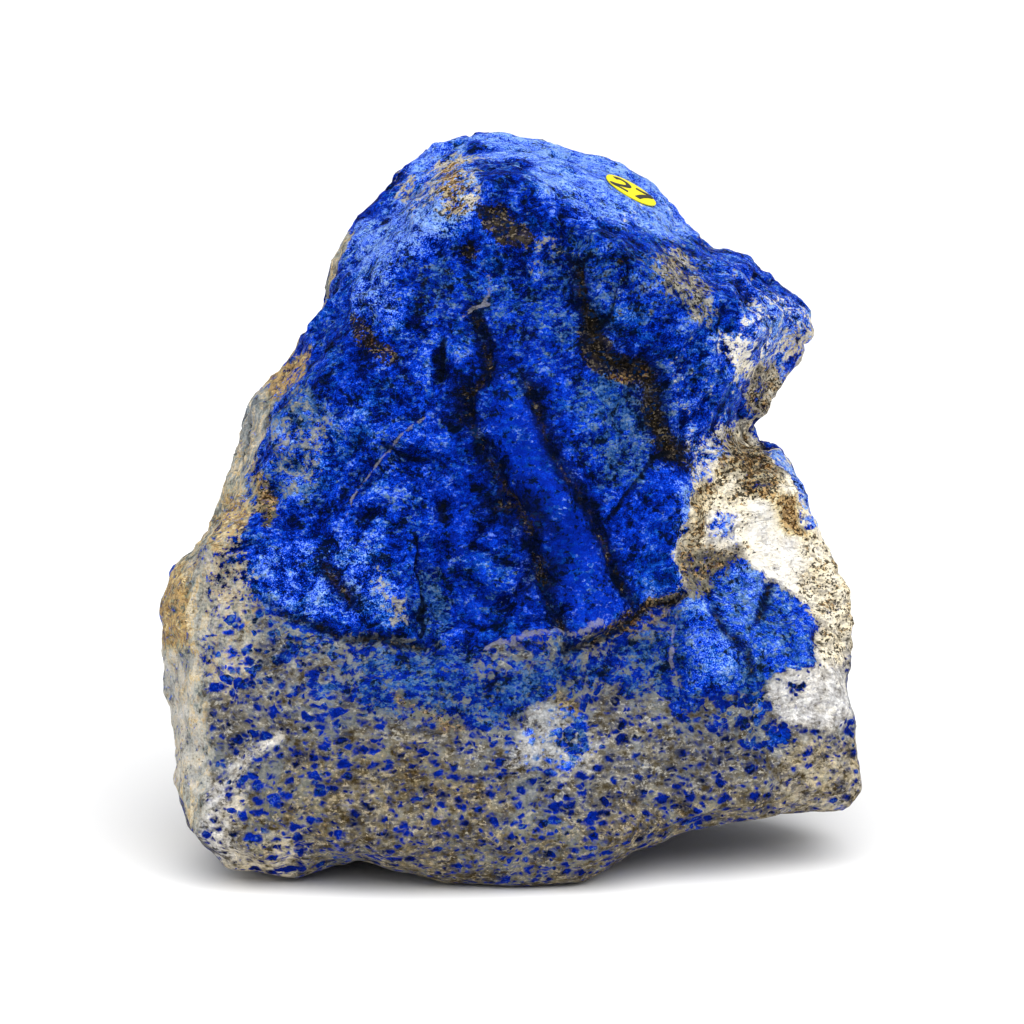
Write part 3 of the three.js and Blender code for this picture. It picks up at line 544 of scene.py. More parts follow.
class Wire:
    """A node's output that takes part in sums as a number does."""

    def __init__(self, paint, socket):
        self.paint, self.socket = paint, socket

    def maths(self, operation, *values, clamp=False):
        """A Math node over the values."""
        settings = {"operation": operation, "use_clamp": clamp}
        return self.paint.node("ShaderNodeMath", settings, dict(enumerate(values)))

    def __add__(self, other):
        return self.maths("ADD", self, other)

    def __radd__(self, other):
        return self.maths("ADD", other, self)

    def __sub__(self, other):
        return self.maths("SUBTRACT", self, other)

    def __rsub__(self, other):
        return self.maths("SUBTRACT", other, self)

    def __mul__(self, other):
        return self.maths("MULTIPLY", self, other)

    def __rmul__(self, other):
        return self.maths("MULTIPLY", other, self)

    def sibling(self, name):
        """Another output of the same node."""
        return Wire(self.paint, self.socket.node.outputs[name])

    def clamped(self):
        return self.maths("ADD", self, 0.0, clamp=True)

    def most(self, other):
        return self.maths("MAXIMUM", self, other)

    def step(self, low, high):
        """0 below low, 1 above high and a smooth slope between. Low may be over high."""
        inputs = {"Value": self, "From Min": low, "From Max": high}
        return self.paint.node("ShaderNodeMapRange", {"interpolation_type": "SMOOTHSTEP"}, inputs)


class Paint:
    """One material and the one way its nodes are made."""

    def __init__(self, name):
        self.material = bpy.data.materials.new(name)
        self.material.use_nodes = True
        self.tree = self.material.node_tree
        self.tree.nodes.clear()

    def node(self, kind, settings=None, inputs=None, output=0):
        """Adds a node: its settings first, then the values or links of its sockets."""
        made = self.tree.nodes.new(kind)
        for name, value in (settings or {}).items():
            if name == "stops":
                stops = made.color_ramp.elements
                while len(stops) < len(value):
                    stops.new(0.5)
                for stop, (place, colour) in zip(stops, value):
                    stop.position, stop.color = place, (*colour, 1.0)
            else:
                setattr(made, name, value)
        for key, value in (inputs or {}).items():
            socket = made.inputs[key]
            if isinstance(value, Wire):
                self.tree.links.new(value.socket, socket)
            elif socket.type == "RGBA" and len(value) == 3:
                socket.default_value = (*value, 1.0)
            else:
                socket.default_value = value
        return Wire(self, made.outputs[output]) if len(made.outputs) else None

    def attribute(self, name):
        return self.node("ShaderNodeAttribute", {"attribute_name": name}, output="Fac")

    def object_place(self):
        return self.node("ShaderNodeTexCoord", output="Object")

    def mapping(self, place, scale, turn=(0, 0, 0)):
        return self.node("ShaderNodeMapping", {}, {"Vector": place, "Rotation": turn, "Scale": scale})

    def vector(self, operation, *values, output=0):
        settings = {"operation": operation}
        return self.node("ShaderNodeVectorMath", settings, dict(enumerate(values)), output)

    def noise(self, place, per_mm, detail, rough):
        """Noise with the given number of blobs per mm, from about -0.5 to 0.5."""
        inputs = {"Vector": place, "Scale": per_mm, "Detail": detail, "Roughness": rough}
        return self.node("ShaderNodeTexNoise", {}, inputs) - 0.5

    def pushed(self, base, place, per_mm, detail, reach):
        """The base place, pushed about in all three directions by the noise at place."""
        inputs = {"Vector": place, "Scale": per_mm, "Detail": detail}
        push = self.node("ShaderNodeTexNoise", {}, inputs, output="Color")
        return self.vector("MULTIPLY_ADD", push, (reach,) * 3, base)

    def cells(self, place, per_mm, output=0):
        inputs = {"Vector": place, "Scale": per_mm}
        return self.node("ShaderNodeTexVoronoi", {"feature": "F1"}, inputs, output)

    def dots(self, place, per_mm, reach):
        """How far inside a round speck a place lies. Specks vary in size, and reach enlarges them all."""
        found = self.cells(place, per_mm)
        luck = self.node("ShaderNodeSeparateColor", {}, {0: found.sibling("Color")})
        return reach * (luck * 1.5 - 0.1) - found

    def crystals(self, place, per_mm, ragged):
        """Broken grains: a random number for each, from -0.5 to 0.5, and a height that tilts its face."""
        bent = self.pushed(place, place, per_mm * 1.7, 0.0, ragged / per_mm)
        found = self.cells(bent, per_mm, "Color")
        away = self.vector("SUBTRACT", bent, found.sibling("Position"))
        lean = self.vector("SUBTRACT", found, (0.5, 0.5, 0.5))
        height = self.vector("DOT_PRODUCT", away, lean, output="Value")
        return self.node("ShaderNodeSeparateColor", {}, {0: found}) - 0.5, height * per_mm

    def ramp(self, value, *stops):
        """A colour that runs through the stops, each a place and a colour, as value rises."""
        return self.node("ShaderNodeValToRGB", {"stops": stops}, {"Fac": value})

    def mix(self, kind, share, low, high):
        settings = {"data_type": "RGBA", "blend_type": kind, "clamp_factor": True}
        return self.node("ShaderNodeMix", settings, {0: share, 6: low, 7: high}, output=2)

    def blend(self, share, low, high):
        """The low colour, turning into the high one as share goes to 1."""
        return self.mix("MIX", share, low, high)

    def stained(self, share, colour, stain):
        """The colour, seen through the stain as share goes to 1."""
        return self.mix("MULTIPLY", share, colour, stain)

    def bump(self, height, strength, distance):
        inputs = {"Height": height, "Strength": strength, "Distance": distance}
        return self.node("ShaderNodeBump", {}, inputs)

    def finish(self, **sockets):
        """Ends the material in one Principled shader."""
        titles = {name: name.replace("_", " ").title().replace("Ior", "IOR") for name in sockets}
        inputs = {titles[name]: value for name, value in sockets.items()}
        shader = self.node("ShaderNodeBsdfPrincipled", {}, inputs)
        self.node("ShaderNodeOutputMaterial", {}, {"Surface": shader})
        return self.material


def stone_material(look):
    """Lazurite, calcite, matrix, stains and veins, from the zones carried by the skin."""
    paint = Paint("lapis_rock")
    coords = paint.object_place()
    place = paint.mapping(coords, (1000, 1000, 1000))
    layered = paint.mapping(coords, (800, 1000, 1250), (LEAN, math.radians(6), 0))
    slanted = paint.mapping(coords, (650, 900, 1350), (0, math.radians(40), 0))
    flowing = paint.mapping(coords, (330, 700, 1150), (0, math.radians(-14), 0))
    drawn = paint.mapping(coords, (900, 700, 260), (0, math.radians(-24), 0))
    blue, light, white, iron, dark, murky, calm, banded, folded, relief, cleft, vein, thread, crack = (
        paint.attribute(name) for name in CARRIED)

    bent = paint.pushed(layered, place, 0.9, 1.0, 1.3)
    patch = paint.noise(place, 0.10, 3.0, 0.6)
    cloud = paint.noise(place, 0.33, 3.0, 0.6)
    stains = paint.noise(place, 0.5, 4.0, 0.7)
    grain = paint.noise(place, 1.1, 3.0, 0.62)
    fine = paint.noise(place, 2.6, 2.0, 0.6)
    dust = paint.noise(place, 5.5, 1.0, 0.5)
    streak = paint.noise(slanted, 1.5, 2.0, 0.6)
    flow = paint.noise(flowing, 0.75, 4.0, 0.62)
    big, big_face = paint.crystals(place, 0.55, 0.8)
    small, small_face = paint.crystals(slanted, 1.7, 0.8)

    # Share of blue: solid or finely broken on the face, round specks in the band.
    broken = (blue - 0.5) * 0.52 + patch * 0.12 - cloud * 0.35 - grain * 0.75 + fine * 0.30
    reach = 0.06 + blue * (1.20 + cloud * 2.8 + patch * 1.2)
    specks = paint.dots(bent, 0.60, reach).most(paint.dots(bent, 1.10, reach * 0.85) * 0.7)
    specks = specks * 0.32 + grain * 0.17
    lean = broken * (1.0 - banded) + specks * banded
    is_blue = lean.step(-0.030 - banded * 0.015, 0.040)
    ghost = lean.step(-0.12, 0.0)

    # Lazurite: night blue as painted shade in clefts, deep body, bright and pale blue as painted
    # highlight on ridges and lit places, and frosted flecks.
    # The tone is partly painted light: it rises with light and on ridges, where light falls, and drops
    # beside veins and in clefts, where shade falls. The grain also stands out more where light is high.
    lively = (0.55 + light * 0.80) * (1.0 - calm * 0.75)
    texture = (dust * (0.5 + light * 2.2) + cloud * 1.10 + grain * 1.20 + fine * 0.90 + big * 0.26
               + small * 0.40 + streak * 0.50 + (relief - 0.5) * 0.35)
    tone = (0.15 + light * (0.45 + light * 0.25) + patch * 0.45 + texture * lively
            - vein.step(3.0, 1.0) * 0.12 - cleft * 0.22)
    lazurite = paint.ramp(tone, (0.0, look.night_blue), (0.30, look.deep_blue), (0.62, look.bright_blue),
                          (1.0, look.pale_blue))
    azure = paint.ramp(tone, (0.0, (0.0004, 0.006, 0.050)), (0.30, (0.001, 0.036, 0.27)),
                       (0.62, (0.010, 0.125, 0.62)), (1.0, (0.27, 0.46, 0.86)))
    greener = paint.noise(place, 0.22, 3.0, 0.7) * 1.4 + small * 0.4 + light * 0.20 + murky * 0.12
    lazurite = paint.blend(greener.step(0.10, 0.38) * 0.8, lazurite, azure)
    # Frosted edges of crystals in clusters, partly painted glints, more of them on ridges and where light
    # is high.
    cluster = (cloud + patch * 0.6 + (relief - 0.5) * 0.3 + light * 0.25).step(0.10, 0.32)
    frost_and_glint = (fine * 2.2 + small * 0.8 + streak * 1.2).step(0.22, 0.55) * cluster
    lazurite = paint.blend(frost_and_glint * (0.1 + light), lazurite, (0.34, 0.52, 0.98))
    # Murky grains of grey and green within the blue.
    murk = (murky * 0.30 + patch * 0.5 + grain * 0.9 + small * 0.20).step(0.14, 0.34)
    muddy = paint.ramp(0.5 + fine + small * 0.35 + cloud * 0.5, (0.30, (0.002, 0.016, 0.050)),
                       (0.46, (0.010, 0.055, 0.20)), (0.62, (0.045, 0.130, 0.30)),
                       (0.78, (0.130, 0.185, 0.225)))
    lazurite = paint.blend(murk * 0.85, lazurite, muddy)
    # Dark clots between the crystals: dark grains, partly painted shade between the grains, more of it
    # where light is low.
    clot_and_shade = paint.noise(place, 1.2, 4.0, 0.7) - cloud * 0.9 + small * 0.20 + (0.55 - light) * 0.10
    lazurite = paint.blend(clot_and_shade.step(0.09, 0.20) * 0.92, lazurite, (0.0010, 0.003, 0.010))

    # Matrix: grey with brown, blue-grey, lighter and nearly white clouds.
    grey = tuple(look.grey)
    pale_grey = tuple(min(1.0, part * 1.85) for part in grey)
    share = (flow * 1.5 + grain * 0.5 + cloud * 0.6).step(-0.19, 0.19)
    matrix = paint.blend(share, (0.042, 0.032, 0.016), grey)
    share = (cloud * 1.3 + patch * 0.7 + grain * 0.4).step(-0.04, 0.16) * 0.75
    matrix = paint.blend(share, matrix, (0.110, 0.138, 0.160))
    share = (grain + flow * 0.6 + fine * 0.5 + small * 0.30).step(0.04, 0.26)
    matrix = paint.blend(share, matrix, pale_grey)
    share = (fine + small * 0.5 + flow * 0.5).step(0.18, 0.30) * 0.7
    matrix = paint.blend(share, matrix, (0.42, 0.42, 0.40))
    # The folds of the flank, drawn out upwards in grey, cream and ochre.
    folds = 0.5 + paint.noise(drawn, 0.80, 4.0, 0.70) * 1.7 + fine * 0.25 + (iron - 0.3) * 0.25
    flank = paint.ramp(folds, (0.28, (0.045, 0.032, 0.018)), (0.38, (0.21, 0.28, 0.31)),
                       (0.50, (0.48, 0.50, 0.50)), (0.57, (0.66, 0.46, 0.16)), (0.68, (0.82, 0.76, 0.64)))
    matrix = paint.blend(folded, matrix, flank)
    # Dark pits in the matrix: dark grains, partly painted shade.
    matrix = paint.blend(clot_and_shade.step(0.07, 0.16) * (1.0 - banded) * 0.8, matrix, (0.030, 0.026, 0.020))
    # Calcite, murk, and iron stain in crisp flecks.
    uneven = grain * 1.5 + cloud * 1.4 + fine * 0.8 + small * 0.5
    whiteness = (white + uneven * (white * 2.5).clamped()).clamped()
    matrix = paint.blend(whiteness, matrix, look.calcite)
    matrix = paint.blend((whiteness + white - 1.45).clamped() * 3.0, matrix, (0.99, 0.96, 0.90))
    matrix = paint.blend(murk * (1.0 - whiteness * 0.6) * 0.75, matrix, (0.095, 0.130, 0.155))
    matrix = paint.stained((iron * 1.7 + stains * 1.4).clamped(), matrix, (0.98, 0.84, 0.52))
    rusty = paint.ramp(0.44 + grain + fine * 0.8 + iron * 0.15, (0.40, (0.070, 0.034, 0.012)),
                       (0.52, look.iron), (0.64, (0.54, 0.34, 0.14)))
    stain = (iron * 0.8 + stains + fine * 0.9 + small * 0.3).step(0.40, 0.54)
    matrix = paint.blend(stain * (0.85 - banded * 0.65), matrix, rusty)
    matrix = paint.blend(ghost * (1.0 - whiteness) * 0.40, matrix, (0.036, 0.066, 0.15))

    rock = paint.blend(is_blue, matrix, lazurite)

    # Grit of black, brown, rusty and tan grains, with night-blue ones between. The tan grains are partly
    # painted glints.
    share = (cloud * 0.8 + grain * 1.2 + fine * 0.8).step(-0.06, 0.20)
    grit = paint.blend(share, look.black, (0.034, 0.024, 0.012))
    share = (stains + small * 0.3 + fine * 0.8 + iron * 0.36).step(0.28, 0.42) * 0.8
    grit = paint.blend(share, grit, (0.20, 0.088, 0.018))
    share = (fine + small * 0.35 + cloud * 0.3).step(0.10, 0.24) * 0.8
    grit = paint.blend(share, grit, (0.21, 0.17, 0.11))
    share = (grain * 0.6 + small * 0.4).step(-0.20, -0.08)
    grit = paint.blend(share, (0.002, 0.014, 0.06), grit)
    darkness = (dark * 0.8 + stains * 0.5 + grain * 0.5 - fine * 1.3 + small * 0.36).step(0.48, 0.56)
    rock = paint.blend(darkness * 0.92, rock, grit)
    # Veins with a dark halo that is partly dark minerals and partly painted shadow in their grooves, pale
    # threads, and cracks darkened with painted shade.
    shaken = vein + cloud * 3.6 + grain * 3.6 + fine * 1.6 + small * 0.8
    filled = (stains + cloud * 0.5 + dark * 0.5).step(-0.05, 0.05)
    # Painted shadow along the vein grooves, partly dark minerals.
    rock = paint.blend(shaken.step(4.4, 0.6) * 0.75, rock, (0.001, 0.003, 0.012))
    rock = paint.blend(shaken.step(1.5, 0.3) * filled, rock, grit)
    in_thread = (thread + cloud * 3.0 + grain * 3.4).step(1.0, 0.3)
    rock = paint.blend(in_thread * 0.6, rock, (0.26, 0.26, 0.31))
    # Painted shade in cracks and clefts.
    crack_shade = (crack + grain * 2.0).step(1.4, 0.6).most((cleft + grain * 0.8).step(0.72, 1.0))
    rock = paint.blend(crack_shade * 0.85, rock, (0.002, 0.004, 0.008))

    # Broken faces of the grains, and the fine grain over them.
    height = (0.95 + big_face * 0.90 + small_face * 0.65 + cloud + grain * 0.90) * (1.0 - calm * 0.7)
    rough = (0.58 - is_blue * 0.10 + small * 0.30).clamped()
    return paint.finish(base_color=rock, roughness=rough, normal=paint.bump(height, 1.0, 0.0010),
                        specular_ior_level=0.015)


def label_material(look):
    """Matte yellow paper with faint fibre."""
    paint = Paint("label_paper_yellow")
    place = paint.mapping(paint.object_place(), (1000, 1000, 1000))
    fibre = paint.noise(place, 9.0, 3.0, 0.6)
    mottle = paint.noise(place, 0.8, 2.0, 0.5).step(-0.15, 0.2)
    colour = paint.blend(mottle * 0.25, look.paper, (0.75, 0.62, 0.01))
    rough = 0.55 + fibre * 0.2
    return paint.finish(base_color=colour, roughness=rough, normal=paint.bump(fibre, 0.25, 0.00004))


def ink_material(look):
    """Black marker, a little thinner where the pen ran dry."""
    paint = Paint("label_ink")
    place = paint.mapping(paint.object_place(), (1000, 1000, 1000))
    dry = paint.noise(place, 5.0, 3.0, 0.6).step(0.12, 0.25)
    colour = paint.blend(dry * 0.5, look.ink, (0.16, 0.14, 0.02))
    return paint.finish(base_color=colour, roughness=0.45 + dry * 0.2)


# ---- stone -------------------------------------------------------------------------------------------


def vertex_array(mesh):
    """The places of a mesh's points, a row for each."""
    flat = np.empty(len(mesh.vertices) * 3)
    mesh.vertices.foreach_get("co", flat)
    return flat.reshape(-1, 3)


def fresh_skin(voxel):
    """A closed even-grained skin over a copy of the CAD stone, as a new mesh."""
    form = bmesh.new()
    form.from_mesh(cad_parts["stone"].data)
    bmesh.ops.remove_doubles(form, verts=form.verts, dist=1e-6)
    mesh = bpy.data.meshes.new("stone_form")
    form.to_mesh(mesh)
    form.free()
    carrier = bpy.data.objects.new("stone_form", mesh)
    bpy.context.scene.collection.objects.link(carrier)
    remesh = carrier.modifiers.new("skin", "REMESH")
    remesh.mode, remesh.voxel_size = "VOXEL", voxel
    shaped = carrier.evaluated_get(bpy.context.evaluated_depsgraph_get())
    skin = bpy.data.meshes.new_from_object(shaped)
    bpy.data.objects.remove(carrier)
    skin.name = "lapis_stone"
    return skin


def edge_ends(mesh):
    """The two points of every edge, as two lists."""
    ends = np.empty(len(mesh.edges) * 2, dtype=np.int64)
    mesh.edges.foreach_get("vertices", ends)
    return ends.reshape(-1, 2).T


def spread(values, ends, rounds):
    """Values of the points, averaged with their neighbours a number of times."""
    a, b = ends
    count = 1.0 + np.bincount(a, minlength=len(values)) + np.bincount(b, minlength=len(values))
    for _ in range(rounds):
        around = np.bincount(a, values[b], len(values)) + np.bincount(b, values[a], len(values))
        values = (values + around) / count
    return values


def lay_out(mesh, normals, ends):
    """A flat map of the skin: six plain views of it side by side, the main face the largest."""
    soft = np.stack([spread(part, ends, VIEW_ROUNDS) for part in normals.T], axis=1)
    starts, counts = np.empty((2, len(mesh.polygons)), dtype=np.int32)
    mesh.polygons.foreach_get("loop_start", starts)
    mesh.polygons.foreach_get("loop_total", counts)
    corners = np.empty(len(mesh.loops), dtype=np.int32)
    mesh.loops.foreach_get("vertex_index", corners)
    looks = np.add.reduceat(soft[corners], starts) @ np.array([view[0] for view in VIEWS]).T
    view_of = np.repeat(np.argmax(looks, axis=1), counts)
    places = vertex_array(mesh)[corners]
    flat = np.empty((len(corners), 2))
    for number, (_, across, up, corner, scale) in enumerate(VIEWS):
        mine = view_of == number
        sheet = places[mine] @ np.array((across, up)).T
        flat[mine] = (sheet - sheet.min(axis=0)) * scale + np.array(corner)
    mesh.uv_layers.new(name="OFBake").uv.foreach_set("vector", flat.ravel().astype(np.float32))


def smooth_normals(mesh, ends):
    """Vertex normals, averaged so that carving along them doesn't fold the skin."""
    normals = np.empty(len(mesh.vertices) * 3)
    mesh.vertex_normals.foreach_get("vector", normals)
    parts = normals.reshape(-1, 3).T
    normals = np.stack([spread(part, ends, NORMAL_ROUNDS) for part in parts], axis=1)
    return normals / np.linalg.norm(normals, axis=1, keepdims=True)


def turn_to(stuff, change, share):
    """Turns the stuff of every point to the changed values, by its share."""
    for name, value in change.items():
        stuff[name] = stuff[name] * (1 - share) + value * share


def minerals(spots, points, turned, open_face):
    """The share of each mineral at every skin point, by name, and how far the point is in the band."""
    wander = clouds(points, 5.0, 301, 3) * 1.3 + clouds(points, 1.8, 305, 2) * 0.7
    wander += clouds(points, 9.0, 306, 3) * 4.0 * (1 - open_face)
    band_line = np.array(BAND_TOP)
    top_of_band = np.interp(spots[:, 0], band_line[:, 0], band_line[:, 1])
    behind = ramp(points[:, 1], -8.0, 14.0)
    top_of_band = top_of_band * (1 - behind) + (37.0 + clouds(points, 22.0, 302, 2) * 7.0) * behind
    in_band = ramp(top_of_band - spots[:, 1] + wander * (0.35 + behind), -0.5, 0.9)
    stuff = {name: START[name] * (1 - in_band) + BAND[name] * in_band for name in START}
    # The blue thins out downwards in the band.
    below = np.maximum(top_of_band - spots[:, 1], 0.0)
    stuff["blue"] += in_band * 0.22 * np.exp(-below / 5.0)
    stuff["murk"] += in_band * 0.5 * np.exp(-below / 7.0)
    # Behind, the blue is broken by paler clouds.
    back_cloud = ramp(clouds(points, 17.0, 303, 3), 0.0, 0.6) * behind * (1 - in_band)
    stuff["blue"] -= 0.45 * back_cloud
    stuff["white"] += 0.35 * back_cloud
    rough_edge = clouds(points, 9.0, 304, 3) * 5.0
    for centre, radius, soft, change in CLOUDS:
        gap = radius - np.linalg.norm(points - np.array(centre), axis=1) + rough_edge
        turn_to(stuff, change, ramp(gap, -soft, soft))
    # Past the edge of the face the zones fray out.
    past = 1.0 - ramp(turned, -0.02, 0.18)
    fray = clouds(points, 7.0, 307, 3) * 6.0 * past
    shown = ramp(turned + clouds(points, 8.0, 308, 3) * 0.25 * past, -0.35, -0.08)
    for _, outline, soft, change in ZONES:
        gap = depth_inside(spots, outline) + wander * min(1.0, soft * 0.7) + fray
        turn_to(stuff, change, ramp(gap, -soft, soft) * shown)
    return stuff, in_band


def lines_near(spots, points, facing, kind):
    """Distance to the nearest line of a kind, in half widths of the line."""
    near = np.full(len(spots), FAR)
    shake = np.stack((clouds(points, 2.2, 311, 2), clouds(points, 2.2, 312, 2)), axis=1) * 0.45
    for _, path, half, _, line_kind in LINES:
        if line_kind == kind:
            away = path_distance(spots + shake * min(1.0, half), path) / half
            near = np.minimum(near, np.where(facing > 0.5, away, FAR))
    return near


def carve(points, spots, facing, open_face, stuff, in_band, strength, seed):
    """Height of the broken skin over the plain form at every point, in mm, and the clefts in it."""
    calm = stuff["calm"]
    warped = points + np.stack([clouds(points, 5.0, seed + k, 2) for k in range(3)], axis=1) * 1.4
    large = scoops(warped, size=15.0, tilt=0.22, bowl=0.30, seed=seed) - 0.9
    middle = scoops(warped, size=6.5, tilt=0.34, bowl=0.42, seed=seed + 1) - 0.55
    flatter = warped * np.array([1.0, 1.0, 1.3])
    small = scoops(flatter, size=3.0, tilt=0.42, bowl=0.50, seed=seed + 2) - 0.32
    tiny = scoops(warped, size=1.6, tilt=0.45, bowl=0.55, seed=seed + 3) - 0.2
    height = (large * 0.70 + middle * 0.55 * (1 - 0.5 * calm)) * (0.2 + 0.8 * open_face)
    height += (small * 0.75 + tiny * 0.45) * (1 - 0.7 * calm) * (0.45 + 0.55 * open_face)
    height += clouds(points, 3.2, seed + 5, 3) * 0.25
    # Flat layering of the band.
    layers = clouds(points * np.array([0.35, 0.35, 1.6]), 3.4, seed + 6, 3)
    height += in_band * layers * 0.28
    # Calcite stands up in sugary grains.
    sugar = scoops(points, size=1.8, tilt=0.5, bowl=0.55, seed=seed + 7) - 0.25
    height += stuff["white"] * sugar * 0.5
    # Ragged clefts, open only here and there.
    ragged = np.abs(clouds(warped, 9.0, seed + 9, 3))
    here = ramp(clouds(points, 12.0, seed + 12, 2), -0.05, 0.45) * (1 - 0.8 * calm) * (1 - 0.7 * in_band)
    clefts = ramp(ragged, 0.16, 0.02) * here
    height -= clefts * 0.9
    height *= strength
    for _, path, half, rise in SWELLS:
        height += rise * np.exp(-((path_distance(spots, path) / half) ** 2)) * facing
    uneven = 0.8 + 0.35 * clouds(points, 1.8, seed + 8, 2)
    for _, path, half, depth, _ in LINES:
        away = path_distance(spots, path) / max(half, NARROWEST)
        height -= depth * np.exp(-(away**2)) * facing * uneven
    return height + 0.2, clefts


class LAPIS_OT_stone(bpy.types.Operator):
    """Carve and colour the stone over its CAD form"""

    bl_idname = "lapis.make_stone"
    bl_label = "Make Stone"

    def execute(self, context):
        look = context.scene.lapis_stone
        mesh = fresh_skin(look.voxel)
        world = vertex_array(mesh) / MM
        ends = edge_ends(mesh)
        normals = smooth_normals(mesh, ends)
        points = to_face(world)
        spots = seen(points)
        leaning = normals @ np.array(LEANING)
        to_eye = np.array([0.0, -EYE_DISTANCE, EYE_HEIGHT]) - points
        to_eye /= np.linalg.norm(to_eye, axis=1, keepdims=True)
        turned = np.sum(leaning * to_eye, axis=1)
        facing = ramp(turned, -0.35, -0.08)
        open_face = ramp(np.abs(turned), 0.05, 0.40)
        stuff, in_band = minerals(spots, points, turned, open_face)
        # The clefts are carved, and they also darken the material as painted shade.
        height, stuff["cleft"] = carve(
            points, spots, facing, open_face, stuff, in_band, look.chip_height, look.seed)

        # The resting spot stays flat, and so does the skin under the label.
        height *= ramp(world[:, 2], GROUND_CLEAR * 0.3, GROUND_CLEAR * 2.5)
        low, high = (np.array(corner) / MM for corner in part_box("label"))
        label_gap = np.linalg.norm(world - (low + high) / 2, axis=1)
        height *= 0.12 + 0.88 * ramp(label_gap, *LABEL_CLEAR)
        carved = world + normals * height[:, None]
        carved[:, 2] = np.maximum(carved[:, 2], 0.0)
        mesh.vertices.foreach_set("co", (carved * MM).ravel())

        # The carved height minus its smoothed self: in the material it paints shade into pits and light
        # onto ridges.
        relief = height - spread(height, ends, RELIEF_ROUNDS)
        stuff["relief"] = np.clip(0.5 + relief * RELIEF_GAIN, 0.0, 1.0)
        for kind in LINE_KINDS:
            stuff[kind] = lines_near(spots, points, facing, kind)
        # Rusty veins of the back follow the zero line of a wide noise.
        back_line = np.abs(clouds(points, BACK_VEIN_SPACING, 321, 2)) * BACK_VEIN_SPACING / 0.9
        stuff["vein"] = np.where(facing < 0.5, np.minimum(stuff["vein"], back_line), stuff["vein"])
        for name in CARRIED:
            layer = mesh.attributes.new(name, "FLOAT", "POINT")
            layer.data.foreach_set("value", np.clip(stuff[name], 0.0, FAR).astype(np.float32))
        mesh.polygons.foreach_set("use_smooth", np.ones(len(mesh.polygons), dtype=bool))
        mesh.update()
        lay_out(mesh, normals, ends)
        stone = bpy.data.objects.new("lapis_stone", mesh)
        context.scene.collection.objects.link(stone)
        mesh.materials.append(stone_material(look))
        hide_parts("stone")
        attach(stone, "root")
        return {"FINISHED"}


# ---- label -------------------------------------------------------------------------------------------

# Pen strokes of the number 27, on a dot 2 units across, x to the right and y up.
STROKES = [
    [(-0.72, 0.29), (-0.6, 0.51), (-0.39, 0.59), (-0.19, 0.46), (-0.15, 0.22), (-0.3, -0.07),
     (-0.53, -0.34), (-0.7, -0.54), (-0.42, -0.51), (-0.07, -0.49)],
    [(0.12, 0.54), (0.39, 0.55), (0.7, 0.57), (0.56, 0.22), (0.42, -0.15), (0.32, -0.56)],
]

# Where the label lies: how far its centre is from that of the CAD label, and two directions.
LABEL_SHIFT = Vector((-0.0005, 0.0, -0.0002))
LABEL_OUT = Vector((0.480, -0.105, 0.871)).normalized()
LABEL_ACROSS = Vector((0.93, -0.12, 0.0))
LABEL_REACH = 0.006
GLUE = 0.00009
SINK = 0.6  # share of the height of the grains that the paper lies on
INK_FLATNESS = 0.12
RINGS = (0.06, 0.20, 0.20, 0.20, 0.20)  # widths of the rings of faces in the paper, against its radius


class LAPIS_OT_label(bpy.types.Operator):
    """Lay the round paper label on the top slope and write its number"""

    bl_idname = "lapis.make_label"
    bl_label = "Make Label"

    def execute(self, context):
        look = context.scene.lapis_label
        skin = BVHTree.FromObject(bpy.data.objects["lapis_stone"], context.evaluated_depsgraph_get())
        spot = label_spot()
        radius = look.diameter / 2

        form = bmesh.new()
        bmesh.ops.create_circle(form, cap_ends=True, cap_tris=False, segments=96, radius=radius)
        rim = form.faces[:]
        for share in RINGS:
            bmesh.ops.inset_region(form, faces=rim, thickness=radius * share, use_even_offset=True)
        bmesh.ops.triangulate(form, faces=[f for f in form.faces if len(f.verts) > 4])
        lay(form, skin, spot, GLUE)
        top = bmesh.ops.extrude_face_region(form, geom=form.faces[:])
        lifted = [v for v in top["geom"] if isinstance(v, bmesh.types.BMVert)]
        bmesh.ops.translate(form, verts=lifted, vec=spot[-1] * look.thickness)
        bmesh.ops.recalc_face_normals(form, faces=form.faces)
        paper_faces = len(form.faces)

        pen = bmesh.new()
        for stroke in STROKES:
            ink = pen_stroke(stroke, radius, look.pen)
            pen.from_mesh(ink)
            bpy.data.meshes.remove(ink)
        lay(pen, skin, spot, GLUE + look.thickness)
        pen_mesh = bpy.data.meshes.new("pen")
        pen.to_mesh(pen_mesh)
        pen.free()
        form.from_mesh(pen_mesh)
        bpy.data.meshes.remove(pen_mesh)
        form.faces.ensure_lookup_table()
        for face in form.faces[paper_faces:]:
            face.material_index = 1

        paper = bpy.data.meshes.new("number_label")
        form.to_mesh(paper)
        form.free()
        label = bpy.data.objects.new("number_label", paper)
        context.scene.collection.objects.link(label)
        paper.materials.append(label_material(look))
        paper.materials.append(ink_material(look))
        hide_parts("label")
        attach(label, "root")
        return {"FINISHED"}


def label_spot():
    """Centre, right, up and outward directions of the label."""
    low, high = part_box("label")
    centre = (Vector(low) + Vector(high)) / 2 + LABEL_SHIFT
    across = (LABEL_ACROSS - LABEL_OUT * LABEL_ACROSS.dot(LABEL_OUT)).normalized()
    return centre, across, LABEL_OUT.cross(across), LABEL_OUT


